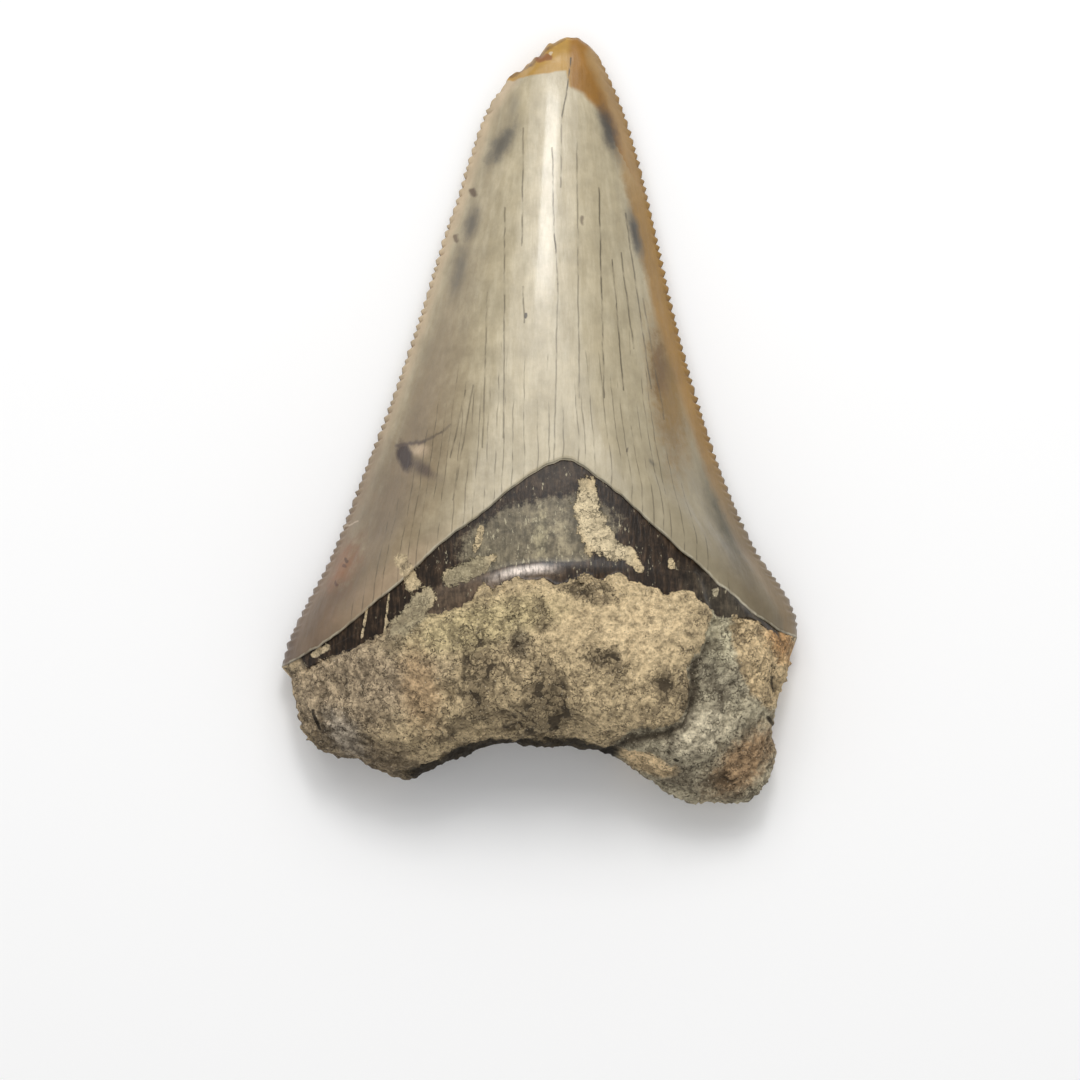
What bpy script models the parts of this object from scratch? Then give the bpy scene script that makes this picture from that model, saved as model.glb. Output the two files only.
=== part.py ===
"""Megalodon tooth, one solid: glossy serrated crown, dark neck band and crusted two-lobed root.

The tooth lies on its flat labial face, lingual face up, tip towards +Y. Metres, +Z up.
The form is two sheets, the upper lingual face and the lower labial face, that share one rim. Each sheet
has three zones, one above the other: the crusted root, the neck band and the enamel crown. A zone is
stretched between the lines round it, and is then lifted off the rim to the height of its face.
"""

import math

import bmesh
import bpy
import numpy as np
from mathutils import Vector, noise
from mathutils.geometry import interpolate_bezier

MM = 0.001

# Driving dimensions, in millimetres
SERRATIONS = 72  # on each cutting edge, about 0.9 mm apart
SERRATION_DEPTH = 0.36
SERRATION_REACH = 0.9  # how far a serration's notch runs into the faces
ENAMEL_THICKNESS = 0.5  # the step down from the enamel to the neck band
CRUST_THICKNESS = 0.9  # sediment cemented on the root, above the neck band
SHEET_STEP = 0.6  # how much thicker the crust is on the middle of the root than on the right lobe
BASE_ROUNDING = 5.0  # how far from the root's base the lingual face is rounded over
LOBE_ROUNDING = 2.6  # the same on the labial face
TIP_LIFT = 1.2  # how far the tip lifts off what the tooth lies on
LABIAL_HOLLOW = 0.7  # depth of the hollow in the middle of the root's labial face
HOLLOW_MIDDLE = (0.0, -27.5)
HOLLOW_RADII = (9.0, 5.0)
DISH_DEPTH = 0.6  # of the flanks, beside the cutting edges
DISH_PLACE, DISH_WIDTH = 0.8, 0.13  # as shares of the way from the middle to the rim
RIM_BLEND = 0.07  # the share of that way over which the steps fade in from the rim
TIP_ROUNDING = 0.05  # the share of the crown over which the lingual face falls to the tip
LABIAL_FLAT = {"crown": 0.6, "root": 0.16}  # the share of that way that turns up to the rim

# The grid of each sheet. Columns run from root to tip
COLUMNS = 44
ZONE_ROWS = {"root": 16, "neck": 7, "crown": 24}
SERRATIONS_PER_ROW = SERRATIONS // ZONE_ROWS["crown"]

# The rim, seen from above, in millimetres: x, y and height over what the tooth lies on
LEFT_LOBE_CORNER = (-24.4, -33.6, 4.6)
LEFT_NECK = (-25.9, -27.2, 4.1)
LEFT_SHOULDER = (-27.0, -26.0, 3.4)
CHIP_START = (-3.1, 36.0, 2.0)  # where the broken side of the tip begins
TIP_RIGHT = (6.3, 38.2, 2.0)
RIGHT_SHOULDER = (27.1, -22.9, 3.4)
RIGHT_NECK = (26.3, -25.0, 4.0)
RIGHT_LOBE_CORNER = (24.2, -37.8, 5.0)

LEFT_ROOT_SIDE = [LEFT_LOBE_CORNER, (-24.9, -31.2, 4.8), (-25.5, -28.9, 4.6), LEFT_NECK]
RIGHT_ROOT_SIDE = [
    RIGHT_LOBE_CORNER,
    (24.6, -35.4, 5.0),
    (24.5, -33.2, 5.0),
    (25.0, -29.6, 4.8),
    (25.9, -26.8, 4.4),
    RIGHT_NECK,
]
LEFT_EDGE = [
    LEFT_SHOULDER,
    (-26.2, -23.2, 3.4),
    (-24.6, -19.8, 3.2),
    (-21.8, -14.4, 2.9),
    (-18.6, -6.2, 2.6),
    (-15.4, 2.2, 2.4),
    (-12.5, 10.8, 2.2),
    (-9.9, 19.4, 2.0),
    (-8.5, 23.4, 1.9),
    (-7.3, 27.4, 1.9),
    (-5.4, 32.6, 1.9),
    CHIP_START,
]
RIGHT_EDGE = [
    RIGHT_SHOULDER,
    (26.9, -20.6, 3.4),
    (25.6, -17.9, 3.2),
    (22.7, -13.6, 2.9),
    (19.4, -6.2, 2.6),
    (16.6, 2.2, 2.4),
    (14.3, 10.6, 2.2),
    (12.4, 19.0, 2.0),
    (10.4, 27.4, 1.9),
    (8.5, 33.4, 1.9),
    TIP_RIGHT,
]
ROOT_BASE = [
    LEFT_LOBE_CORNER,
    (-22.4, -34.8, 4.5),
    (-19.4, -35.6, 4.5),
    (-16.6, -36.9, 4.6),
    (-14.0, -37.4, 5.0),
    (-11.2, -36.3, 5.6),
    (-8.0, -34.8, 6.2),
    (-4.2, -34.1, 6.6),
    (0.4, -33.9, 6.8),
    (4.6, -34.4, 6.6),
    (7.8, -35.4, 6.0),
    (10.8, -37.0, 5.5),
    (13.8, -39.0, 5.0),
    (17.0, -40.2, 5.0),
    (20.4, -40.2, 5.0),
    (22.9, -39.4, 5.0),
    RIGHT_LOBE_CORNER,
]
TIP = [CHIP_START, (-1.2, 37.2, 2.3), (0.6, 38.9, 2.6), (3.0, 40.2, 2.6), (4.9, 39.6, 2.3), TIP_RIGHT]

# Where the enamel ends: a sharp chevron on the lingual face, a shallow arch on the labial one
LINGUAL_ENAMEL_LINE = [
    LEFT_SHOULDER,
    (-23.7, -24.3, 3.4),
    (-20.0, -21.7, 3.4),
    (-14.3, -16.9, 3.4),
    (-9.8, -12.7, 3.4),
    (-5.3, -9.3, 3.4),
    (-0.9, -5.9, 3.4),
    (1.4, -4.7, 3.4),
    (3.3, -4.3, 3.4),
    (4.8, -5.2, 3.4),
    (9.6, -9.0, 3.4),
    (15.7, -14.5, 3.4),
    (21.3, -19.4, 3.4),
    (25.0, -22.1, 3.4),
    RIGHT_SHOULDER,
]
LABIAL_ENAMEL_LINE = [
    LEFT_SHOULDER,
    (-20.0, -24.0, 3.4),
    (-11.0, -20.2, 3.4),
    (1.0, -17.2, 3.4),
    (13.0, -19.0, 3.4),
    (20.5, -21.6, 3.4),
    RIGHT_SHOULDER,
]

# Where the crust on the root begins, below the neck band
LINGUAL_CRUST_LINE = [
    LEFT_NECK,
    (-22.6, -25.2, 3.6),
    (-18.1, -23.4, 3.6),
    (-14.6, -21.6, 3.6),
    (-9.8, -20.0, 3.6),
    (-3.8, -17.2, 3.6),
    (2.6, -16.9, 3.6),
    (8.1, -16.6, 3.6),
    (13.1, -18.2, 3.6),
    (16.8, -18.6, 3.6),
    (18.4, -20.8, 3.6),
    (22.4, -20.9, 3.6),
    RIGHT_NECK,
]
LABIAL_CRUST_LINE = [
    LEFT_NECK,
    (-20.0, -26.2, 3.8),
    (-11.0, -22.4, 3.8),
    (1.0, -19.4, 3.8),
    (13.0, -21.2, 3.8),
    (20.5, -24.0, 3.8),
    RIGHT_NECK,
]

# Height of the lingual face along its middle, and how it falls off to the sides: y, amount.
# An amount of fall under 1 is a full, rounded flank, and one over 1 is a thinner, dished one
MIDDLE_HEIGHT = [
    (-40.0, 9.6),
    (-36.0, 12.2),
    (-32.0, 15.0),
    (-28.0, 16.6),
    (-22.0, 17.2),
    (-14.0, 16.2),
    (-5.0, 14.4),
    (5.0, 12.5),
    (15.0, 10.4),
    (25.0, 7.9),
    (33.0, 5.6),
    (38.0, 3.9),
    (40.5, 3.0),
]
SIDE_FALL = [(-40.0, 0.5), (-22.0, 0.6), (-8.0, 0.84), (10.0, 1.06), (30.0, 1.16), (40.0, 1.1)]

# The right-hand edge of the thick crust on the middle of the root, from the arch up: x, y
SHEET_EDGE = [
    (4.0, -36.0),
    (8.5, -32.9),
    (12.4, -32.2),
    (14.3, -31.2),
    (15.4, -28.2),
    (15.0, -25.8),
    (16.9, -23.0),
    (17.7, -20.5),
    (17.4, -16.0),
]
GROOVE_DEPTH = 0.5
GROOVE_WIDTH = 1.1

# Lumps and pits of the root's lingual face: x, y, radius and height, below 0 for a pit
ROOT_BUMPS = [
    (17.0, -33.4, 4.4, 1.2),
    (21.0, -25.8, 3.4, 0.6),
    (-20.4, -32.0, 3.6, 0.9),
    (-22.0, -28.2, 2.6, -0.5),
    (1.6, -30.4, 2.4, -0.8),
    (6.6, -25.5, 1.8, -0.5),
    (-2.2, -24.1, 1.7, -0.4),
    (-9.6, -28.3, 1.8, -0.6),
]
LUMP_SIZES = [(5.5, 0.6), (2.4, 0.4)]  # spread and height of the finer, scattered lumps
NOISE_PLACE = Vector((3.7, 1.9, 8.4))

ENAMEL_COLOUR = (0.46, 0.41, 0.30, 1.0)
ENAMEL_ROUGHNESS = 0.4


def smooth_step(value):
    """0 below 0, 1 above 1 and a smooth rise in between."""
    value = np.clip(value, 0.0, 1.0)
    return value * value * (3.0 - 2.0 * value)


def quarter_round(value):
    """Rises from 0 to 1 like a quarter of a circle, steep at first."""
    return np.sqrt(1.0 - (1.0 - np.clip(value, 0.0, 1.0)) ** 2)


def curve_through(points, samples=600):
    """Evenly spaced points on a smooth line through the given ones."""
    knots = [Vector(point) for point in points]
    line = []
    for index in range(len(knots) - 1):
        start, end = knots[index], knots[index + 1]
        leave = (end - knots[max(index - 1, 0)]).normalized()
        arrive = (knots[min(index + 2, len(knots) - 1)] - start).normalized()
        reach = (end - start).length / 3
        line += interpolate_bezier(start, start + leave * reach, end - arrive * reach, end, 24)[:-1]
    line = np.array([*line, knots[-1]])
    along = np.concatenate([[0.0], np.cumsum(np.linalg.norm(np.diff(line, axis=0), axis=1))])
    even = np.linspace(0.0, along[-1], samples)
    return np.stack([np.interp(even, along, line[:, axis]) for axis in range(3)], axis=1)


def point_on(curve, share):
    """Points at these shares, from 0 to 1, of an evenly sampled curve."""
    place = np.asarray(share) * (len(curve) - 1)
    index = np.arange(len(curve))
    return np.stack([np.interp(place, index, curve[:, axis]) for axis in range(3)], axis=1)


def stretch(bottom, top, left, right, across, up):
    """Points of a sheet stretched between four curves, at across and up from 0 to 1."""
    across_column, up_column = across[:, None], up[:, None]
    between_rows = (1 - up_column) * point_on(bottom, across) + up_column * point_on(top, across)
    between_sides = (1 - across_column) * point_on(left, up) + across_column * point_on(right, up)
    low = (1 - across_column) * bottom[0] + across_column * bottom[-1]
    high = (1 - across_column) * top[0] + across_column * top[-1]
    return between_rows + between_sides - (1 - up_column) * low - up_column * high


def read_table(table, value):
    """An amount given as (place, amount) pairs, read between them."""
    return np.interp(value, [row[0] for row in table], [row[1] for row in table])


def side_of_line(x, y, line):
    """Distance to a line of straight stretches, above 0 on its left-hand side."""
    nearest = np.full(len(x), np.inf)
    side = np.ones(len(x))
    for (start_x, start_y), (end_x, end_y) in zip(line, line[1:]):
        run_x, run_y = end_x - start_x, end_y - start_y
        along = np.clip(((x - start_x) * run_x + (y - start_y) * run_y) / (run_x**2 + run_y**2), 0.0, 1.0)
        distance = np.hypot(x - start_x - along * run_x, y - start_y - along * run_y)
        turn = np.sign(run_x * (y - start_y) - run_y * (x - start_x))
        side = np.where(distance < nearest, turn, side)
        nearest = np.minimum(nearest, distance)
    return nearest * side


def make_envelope():
    """A closed pillow of two grids. x is across, 0 to 1; y is up, a whole number at the end of each zone;
    z is 1 on the lingual sheet, -1 on the labial one and 0 on the rim."""
    mesh = bmesh.new()
    rows = sum(ZONE_ROWS.values())
    for side in (1, -1):
        made = bmesh.ops.create_grid(mesh, x_segments=COLUMNS, y_segments=rows, size=1.0)["verts"]
        for vert in made:
            on_rim = max(abs(vert.co.x), abs(vert.co.y)) > 0.9999
            vert.co.z = 0.0 if on_rim else side
        if side < 0:
            faces = {face for vert in made for face in vert.link_faces}
            bmesh.ops.reverse_faces(mesh, faces=list(faces))
    bmesh.ops.remove_doubles(mesh, verts=mesh.verts[:], dist=1e-5)
    for vert in mesh.verts:
        vert.co.x = spread_column((vert.co.x + 1) / 2)
        vert.co.y = spread_row((vert.co.y + 1) / 2 * rows)
    return mesh


def spread_column(share):
    """Columns stand closer towards the rim."""
    return 0.5 * share + 0.25 * (1 - math.cos(math.pi * share))


def spread_row(row):
    """Root rows stand closer towards the base and the crust line, neck rows towards both of their lines."""
    root_rows, neck_rows, crown_rows = ZONE_ROWS.values()
    if row > root_rows + neck_rows:
        return 2 + (row - root_rows - neck_rows) / crown_rows
    start, rows = (0, root_rows) if row <= root_rows else (root_rows, neck_rows)
    share = (row - start) / rows
    closer = 0.5 * (1 - math.cos(math.pi * share))
    return (start > 0) + 0.4 * share + 0.6 * closer


def cut_rim_for_serrations(mesh):
    """Adds rim points at each serration's peak and notch, and splits the faces beside them."""
    cutting_edges = []
    for edge in mesh.edges:
        first, second = (vert.co for vert in edge.verts)
        on_rim = abs(first.z) + abs(second.z) < 1e-6
        if on_rim and min(first.y, second.y) > 1.9999 and abs(first.x - second.x) < 1e-6:
            cutting_edges.append(edge)
    bmesh.ops.subdivide_edges(mesh, edges=cutting_edges, cuts=2 * SERRATIONS_PER_ROW - 1)
    bmesh.ops.triangulate(mesh, faces=[face for face in mesh.faces if len(face.verts) > 4])


def sheet_points(across, up, crust_line, enamel_line):
    """Places on a flat sheet inside the rim, in millimetres."""
    crust, enamel = curve_through(crust_line), curve_through(enamel_line)
    zones = [
        (curve_through(ROOT_BASE), crust, LEFT_ROOT_SIDE, RIGHT_ROOT_SIDE),
        (crust, enamel, [LEFT_NECK, LEFT_SHOULDER], [RIGHT_NECK, RIGHT_SHOULDER]),
        (enamel, curve_through(TIP), LEFT_EDGE, RIGHT_EDGE),
    ]
    places = np.zeros((len(up), 3))
    for index, (bottom, top, left, right) in enumerate(zones):
        within = np.clip(up - index, 0, 1)
        here = stretch(bottom, top, curve_through(left), curve_through(right), across, within)
        places = np.where((up >= index)[:, None], here, places)
    return places


def add_serrations(places, across, up):
    """Pushes the cutting edges in and out, once for each serration, and fades that into the faces."""
    wave = -0.5 * np.cos(2 * math.pi * SERRATIONS * np.clip(up - 2, 0, 1))
    rim = sheet_points(np.round(across), up, LINGUAL_CRUST_LINE, LINGUAL_ENAMEL_LINE)
    fade = 1 - smooth_step(np.linalg.norm(places[:, :2] - rim[:, :2], axis=1) / SERRATION_REACH)
    fade *= smooth_step((up - 2) * 30) * smooth_step((3 - up) * 40)
    places[:, 0] += np.sign(across - 0.5) * SERRATION_DEPTH * wave * fade


def lingual_height(places, across, up):
    """Height of the upper face."""
    x, y, rim = places.T
    off_middle = np.abs(2 * across - 1)
    base = point_on(curve_through(ROOT_BASE), across)
    from_base = np.where(up < 3, np.linalg.norm(places[:, :2] - base[:, :2], axis=1) / BASE_ROUNDING, 1)
    full = (1 - off_middle**2) ** read_table(SIDE_FALL, y) * quarter_round(from_base) ** 0.9
    full *= quarter_round((3 - up) / TIP_ROUNDING)
    height = rim + (read_table(MIDDLE_HEIGHT, y) - rim) * full

    inside = smooth_step((1 - off_middle) / RIM_BLEND)
    dish = np.exp(-(((off_middle - DISH_PLACE) / DISH_WIDTH) ** 2))
    dish *= smooth_step((y + 24) / 8) * smooth_step((12 - y) / 20)  # strongest between y = -16 and -8
    height -= DISH_DEPTH * dish * (up >= 2)
    height -= ENAMEL_THICKNESS * inside * (up < 1.9999)
    on_sheet = side_of_line(x, y, SHEET_EDGE)
    crust = CRUST_THICKNESS - SHEET_STEP * smooth_step(0.5 - on_sheet)
    crust -= GROOVE_DEPTH * np.clip(1 - np.abs(on_sheet + GROOVE_WIDTH / 2) / GROOVE_WIDTH, 0, 1)
    for bump_x, bump_y, radius, tall in ROOT_BUMPS:
        crust += tall * np.exp(-(((x - bump_x) ** 2 + (y - bump_y) ** 2) / (0.45 * radius**2)))
    return height + crust * inside * quarter_round(from_base) * (up < 1.0001)


def labial_height(places, across, up):
    """Height of the lower face: flat in its middle and on both lobes, and turned up to the rim."""
    x, y, rim = places.T
    inward = 1 - np.abs(2 * across - 1)
    base = point_on(curve_through(ROOT_BASE), across)
    from_base = np.linalg.norm(places[:, :2] - base[:, :2], axis=1) / LOBE_ROUNDING
    crown_rise = 1 - smooth_step(inward / LABIAL_FLAT["crown"])
    root_rise = 1 - quarter_round(inward / LABIAL_FLAT["root"])
    rise = root_rise + (crown_rise - root_rise) * smooth_step((up - 1.2) / 1.1)
    rise = np.maximum(rise, 1 - quarter_round(from_base))
    hollow_x, hollow_y = (x - HOLLOW_MIDDLE[0]) / HOLLOW_RADII[0], (y - HOLLOW_MIDDLE[1]) / HOLLOW_RADII[1]
    hollow = np.clip(1 - hollow_x**2 - hollow_y**2, 0, 1)
    lifted = TIP_LIFT * np.clip((y - 18) / 22, 0, 1) ** 2
    return rim * rise + (1 - rise) * (lifted + LABIAL_HOLLOW * hollow)


def place_vertices(mesh):
    """Moves each point of the envelope to its place on the tooth. Returns how much of each is root, and
    which ones are on the labial sheet."""
    across, up, side = np.array([vert.co for vert in mesh.verts]).T
    labial = side < 0
    upper = sheet_points(across, up, LINGUAL_CRUST_LINE, LINGUAL_ENAMEL_LINE)
    lower = sheet_points(across, up, LABIAL_CRUST_LINE, LABIAL_ENAMEL_LINE)
    upper[:, 2] = np.where(side > 0, lingual_height(upper, across, up), upper[:, 2])
    lower[:, 2] = labial_height(lower, across, up)
    places = np.where(labial[:, None], lower, upper)
    add_serrations(places, across, up)
    for vert, place in zip(mesh.verts, places):
        vert.co = place
    return smooth_step((1.05 - up) * 8), labial


def roughen_root(mesh, root, labial):
    """Scatters lumps over the root. What the tooth lies on stays flat."""
    mesh.normal_update()
    moves = []
    for vert, share, below in zip(mesh.verts, root, labial):
        height = sum(tall * noise.noise(vert.co / spread + NOISE_PLACE) for spread, tall in LUMP_SIZES)
        if below:
            share *= min(1.0, vert.co.z / 2)
        moves.append(vert.normal * height * share)
    for vert, move in zip(mesh.verts, moves):
        vert.co += move


def seat(mesh):
    """Puts the lowest point on the ground and the middle of the outline over the origin, in metres."""
    places = np.array([vert.co for vert in mesh.verts])
    low, high = places.min(axis=0), places.max(axis=0)
    foot = Vector(((low[0] + high[0]) / 2, (low[1] + high[1]) / 2, low[2]))
    bmesh.ops.translate(mesh, vec=-foot, verts=mesh.verts[:])
    bmesh.ops.scale(mesh, vec=(MM, MM, MM), verts=mesh.verts[:])


def fossil_material():
    material = bpy.data.materials.new("fossil_enamel")
    material.use_nodes = True
    surface = material.node_tree.nodes["Principled BSDF"]
    surface.inputs["Base Color"].default_value = ENAMEL_COLOUR
    surface.inputs["Roughness"].default_value = ENAMEL_ROUGHNESS
    surface.inputs["Metallic"].default_value = 0.0
    return material


def make_tooth(collection):
    mesh = make_envelope()
    cut_rim_for_serrations(mesh)
    root, labial = place_vertices(mesh)
    roughen_root(mesh, root, labial)
    seat(mesh)
    data = bpy.data.meshes.new("tooth")
    mesh.to_mesh(data)
    mesh.free()
    data.shade_smooth()
    data.materials.append(fossil_material())
    collection.objects.link(bpy.data.objects.new("tooth", data))


def main():
    for old in list(bpy.data.objects):
        bpy.data.objects.remove(old)
    collection = bpy.data.collections.new("megalodon_tooth")
    bpy.context.scene.collection.children.link(collection)
    make_tooth(collection)


main()
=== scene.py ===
import math

import bmesh
import bpy
import numpy as np
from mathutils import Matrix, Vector, noise
from mathutils.geometry import interpolate_bezier


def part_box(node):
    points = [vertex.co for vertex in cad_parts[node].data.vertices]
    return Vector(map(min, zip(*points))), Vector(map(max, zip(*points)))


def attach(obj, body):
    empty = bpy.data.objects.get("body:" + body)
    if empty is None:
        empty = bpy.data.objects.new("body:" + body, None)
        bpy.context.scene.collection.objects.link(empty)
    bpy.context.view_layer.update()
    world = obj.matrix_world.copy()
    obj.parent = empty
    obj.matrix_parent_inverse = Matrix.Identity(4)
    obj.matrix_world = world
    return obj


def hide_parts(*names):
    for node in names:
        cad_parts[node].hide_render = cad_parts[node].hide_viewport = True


# A fossil megalodon tooth lying on its flat labial face. Places and sizes on the tooth are in millimetres,
# x across it, y along it towards the tip and z up. They become metres when the mesh is seated on the frame.

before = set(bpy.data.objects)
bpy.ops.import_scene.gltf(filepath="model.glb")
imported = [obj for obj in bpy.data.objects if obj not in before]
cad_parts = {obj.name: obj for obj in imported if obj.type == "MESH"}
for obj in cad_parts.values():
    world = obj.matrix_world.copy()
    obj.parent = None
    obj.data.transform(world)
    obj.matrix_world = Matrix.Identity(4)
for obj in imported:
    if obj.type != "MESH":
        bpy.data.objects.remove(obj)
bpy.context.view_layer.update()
scene = bpy.context.scene
millimetre = 0.001
print("frame loaded")


# The rim of the tooth and the lines across it: x, y and height over the floor
corners = {
    "leftLobe": (-24.4, -33.6, 4.6),
    "leftNeck": (-25.9, -27.2, 4.1),
    "leftShoulder": (-27.0, -26.0, 3.4),
    "chipStart": (-3.1, 36.0, 2.0),
    "tipRight": (6.3, 38.2, 2.0),
    "rightShoulder": (27.1, -22.9, 3.4),
    "rightNeck": (26.3, -25.0, 4.0),
    "rightLobe": (24.2, -37.8, 5.0),
}
lines = {
    "leftRoot": ["leftLobe", (-24.9, -31.2, 4.8), (-25.5, -28.9, 4.6), "leftNeck"],
    "rightRoot": ["rightLobe", (24.6, -35.4, 5.0), (24.5, -33.2, 5.0), (25.0, -29.6, 4.8),
                  (25.9, -26.8, 4.4), "rightNeck"],
    "leftNeck": ["leftNeck", "leftShoulder"],
    "rightNeck": ["rightNeck", "rightShoulder"],
    "leftEdge": ["leftShoulder", (-26.2, -23.2, 3.4), (-24.6, -19.8, 3.2), (-21.8, -14.4, 2.9),
                 (-18.6, -6.2, 2.6), (-15.4, 2.2, 2.4), (-12.5, 10.8, 2.2), (-9.9, 19.4, 2.0),
                 (-8.5, 23.4, 1.9), (-7.3, 27.4, 1.9), (-5.4, 32.6, 1.9), "chipStart"],
    "rightEdge": ["rightShoulder", (26.9, -20.6, 3.4), (25.6, -17.9, 3.2), (22.7, -13.6, 2.9),
                  (19.4, -6.2, 2.6), (16.6, 2.2, 2.4), (14.3, 10.6, 2.2), (12.4, 19.0, 2.0),
                  (10.4, 27.4, 1.9), (8.5, 33.4, 1.9), "tipRight"],
    "base": ["leftLobe", (-22.4, -34.8, 4.5), (-19.4, -35.6, 4.5), (-16.6, -36.9, 4.6), (-14.0, -37.4, 5.0),
             (-11.2, -36.3, 5.6), (-8.0, -34.8, 6.2), (-4.2, -34.1, 6.6), (0.4, -33.9, 6.8),
             (4.6, -34.4, 6.6), (7.8, -35.4, 6.0), (10.8, -37.0, 5.5), (13.8, -39.0, 5.0),
             (17.0, -40.2, 5.0), (20.4, -40.2, 5.0), (22.9, -39.4, 5.0), "rightLobe"],
    "tip": ["chipStart", (-1.2, 37.2, 2.3), (0.6, 38.9, 2.6), (3.0, 40.2, 2.6), (4.9, 39.6, 2.3),
            "tipRight"],
    "lingualEnamel": ["leftShoulder", (-23.7, -24.3), (-20.0, -21.7), (-14.3, -16.9), (-9.8, -12.7),
                      (-5.3, -9.3), (-0.9, -5.9), (1.4, -4.7), (3.3, -4.3), (4.8, -5.2), (9.6, -9.0),
                      (15.7, -14.5), (21.3, -19.4), (25.0, -22.1), "rightShoulder"],
    "labialEnamel": ["leftShoulder", (-20.0, -24.0), (-11.0, -20.2), (1.0, -17.2), (13.0, -19.0),
                     (20.5, -21.6), "rightShoulder"],
    "lingualCrust": ["leftNeck", (-22.6, -25.2), (-18.1, -23.4), (-14.6, -21.6), (-9.8, -20.0),
                     (-3.8, -17.2), (2.6, -16.9), (8.1, -16.6), (13.1, -18.2), (16.8, -18.6),
                     (18.4, -20.8), (22.4, -20.9), "rightNeck"],
    "labialCrust": ["leftNeck", (-20.0, -26.2), (-11.0, -22.4), (1.0, -19.4), (13.0, -21.2),
                    (20.5, -24.0), "rightNeck"],
}
lineHeights = {"lingualEnamel": 3.4, "labialEnamel": 3.4, "lingualCrust": 3.6, "labialCrust": 3.8}
# y and the height of the middle there
middleHeight = [(-40.0, 9.6), (-36.0, 12.2), (-32.0, 15.0), (-28.0, 16.6), (-22.0, 17.2), (-14.0, 16.2),
                (-5.0, 14.4), (5.0, 12.5), (15.0, 10.4), (25.0, 7.9), (33.0, 5.6), (38.0, 3.9), (40.5, 3.0)]
# y and how the face falls to its sides: 0.5 is a half ellipse, 1 a parabola
sideFall = [(-40.0, 0.5), (-22.0, 0.6), (-8.0, 0.84), (10.0, 1.06), (30.0, 1.16), (40.0, 1.1)]
# The thicker sheet's edge, the ledge across the neck band and the lower edge of the tip's colour
sheetEdge = [(4.0, -36.0), (8.5, -32.9), (12.4, -32.2), (14.3, -31.2), (15.4, -28.2), (15.0, -25.8),
             (16.9, -23.0), (17.7, -20.5), (17.4, -16.0)]
neckLedge = [(-12.0, -18.8), (-8.9, -17.2), (-5.3, -16.1), (-3.1, -15.4), (0.0, -15.0), (8.1, -15.0),
             (13.0, -15.6)]
tipEdge = [(-4.6, 35.4), (-2.6, 35.75), (1.4, 36.4), (2.9, 36.6), (3.2, 34.8), (4.6, 33.9), (6.2, 32.2),
           (7.4, 30.0)]
# Place, radius and height
rootBumps = [(17.0, -33.4, 4.4, 1.2), (21.0, -25.8, 3.4, 0.6), (-20.4, -32.0, 3.6, 0.9),
             (-22.0, -28.2, 2.6, -0.5), (1.6, -30.4, 2.4, -0.8), (6.6, -25.5, 1.8, -0.5),
             (-2.2, -24.1, 1.7, -0.4), (-9.6, -28.3, 1.8, -0.6)]

neckTop = 1.9999  # rows are counted from 0 to 3, and this is just under the enamel's lower edge
toothForm = {
    "tableBlur": 3.0,  # how far the height tables are smoothed along the tooth
    "serrations": 72,  # on each cutting edge
    "serrationDepth": 0.36,
    "serrationUnevenness": 0.35,
    "serrationDrift": 0.22,  # how far, as a share of one, the notches stray from even places
    "serrationPeak": 0.64,  # where between two notches the point stands
    "serrationReach": 0.8,  # how far a notch runs into the faces
    "serrationRidge": 0.07,  # how deep it is there
    "serrationSharpness": 0.75,
    "serrationLevel": 0.6,  # where its flank crosses the line of the edge, as a share of its height
    "serrationFade": (30, 40),  # how fast they rise at the shoulder and end at the tip
    "serrationSeed": 11,
    "enamelThickness": 0.36,
    "enamelLip": 0.07,  # the raised line along the enamel's lower edge
    "lipWidth": 0.3,
    "crustThickness": 0.9,
    "sheetStep": 0.6,
    "grooveDepth": 0.5,
    "grooveWidth": 1.1,
    "enamelWobble": ((2.3, 0.12), (0.9, 0.1)),  # spread and reach of its unevenness
    "ledgeStep": 0.13,
    "ledgeRun": 1.1,
    "wobbleFade": 0.06,  # as a share of the line, at both ends
    "bumpSpread": 0.45,
    "faceEdge": 0.07,  # how far in the neck and crust reach their depth, as a share of half the width
    "baseRounding": 5.0,
    "baseSharpness": 0.9,
    "lobeRounding": 2.6,
    "labialRise": (0.6, 0.16),  # how far in it reaches, as a share of half the width: crown and root
    "labialChange": (1.2, 1.1),  # row where the root's rise starts to change to the crown's, and the run
    "tipLift": (1.2, 18.0, 22.0),  # height, where it starts and its run
    "labialHollow": (0.7, -27.5, 9.0, 5.0),  # depth, place along the tooth, half width and half length
    "dish": (0.6, 0.8, 0.13),  # depth, and place and spread as shares of half the width
    "dishStart": (-24.0, 8.0),  # along the tooth, and over what run
    "dishEnd": (12.0, 20.0),
    "tipRounding": 0.05,
    "tipBreak": (0.9, 0.2),  # spread and depth of the broken tip's roughness
    "tipBreakStart": (2.95, 25),  # row, and how fast it starts
    "tipBreakEnd": (5.5, 3.0),  # across the tooth, and over what run
}
toothGrid = {
    "columns": 120,
    "zoneRows": (36, 20, 144),  # root, neck and crown
    "edgeColumns": 3,  # beside each cutting edge, cut finer for the serrations
    "edgeCuts": 2,
    "enamelFrom": 1.985,  # the enamel's own edge, below its face, is enamel as well
}
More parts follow.
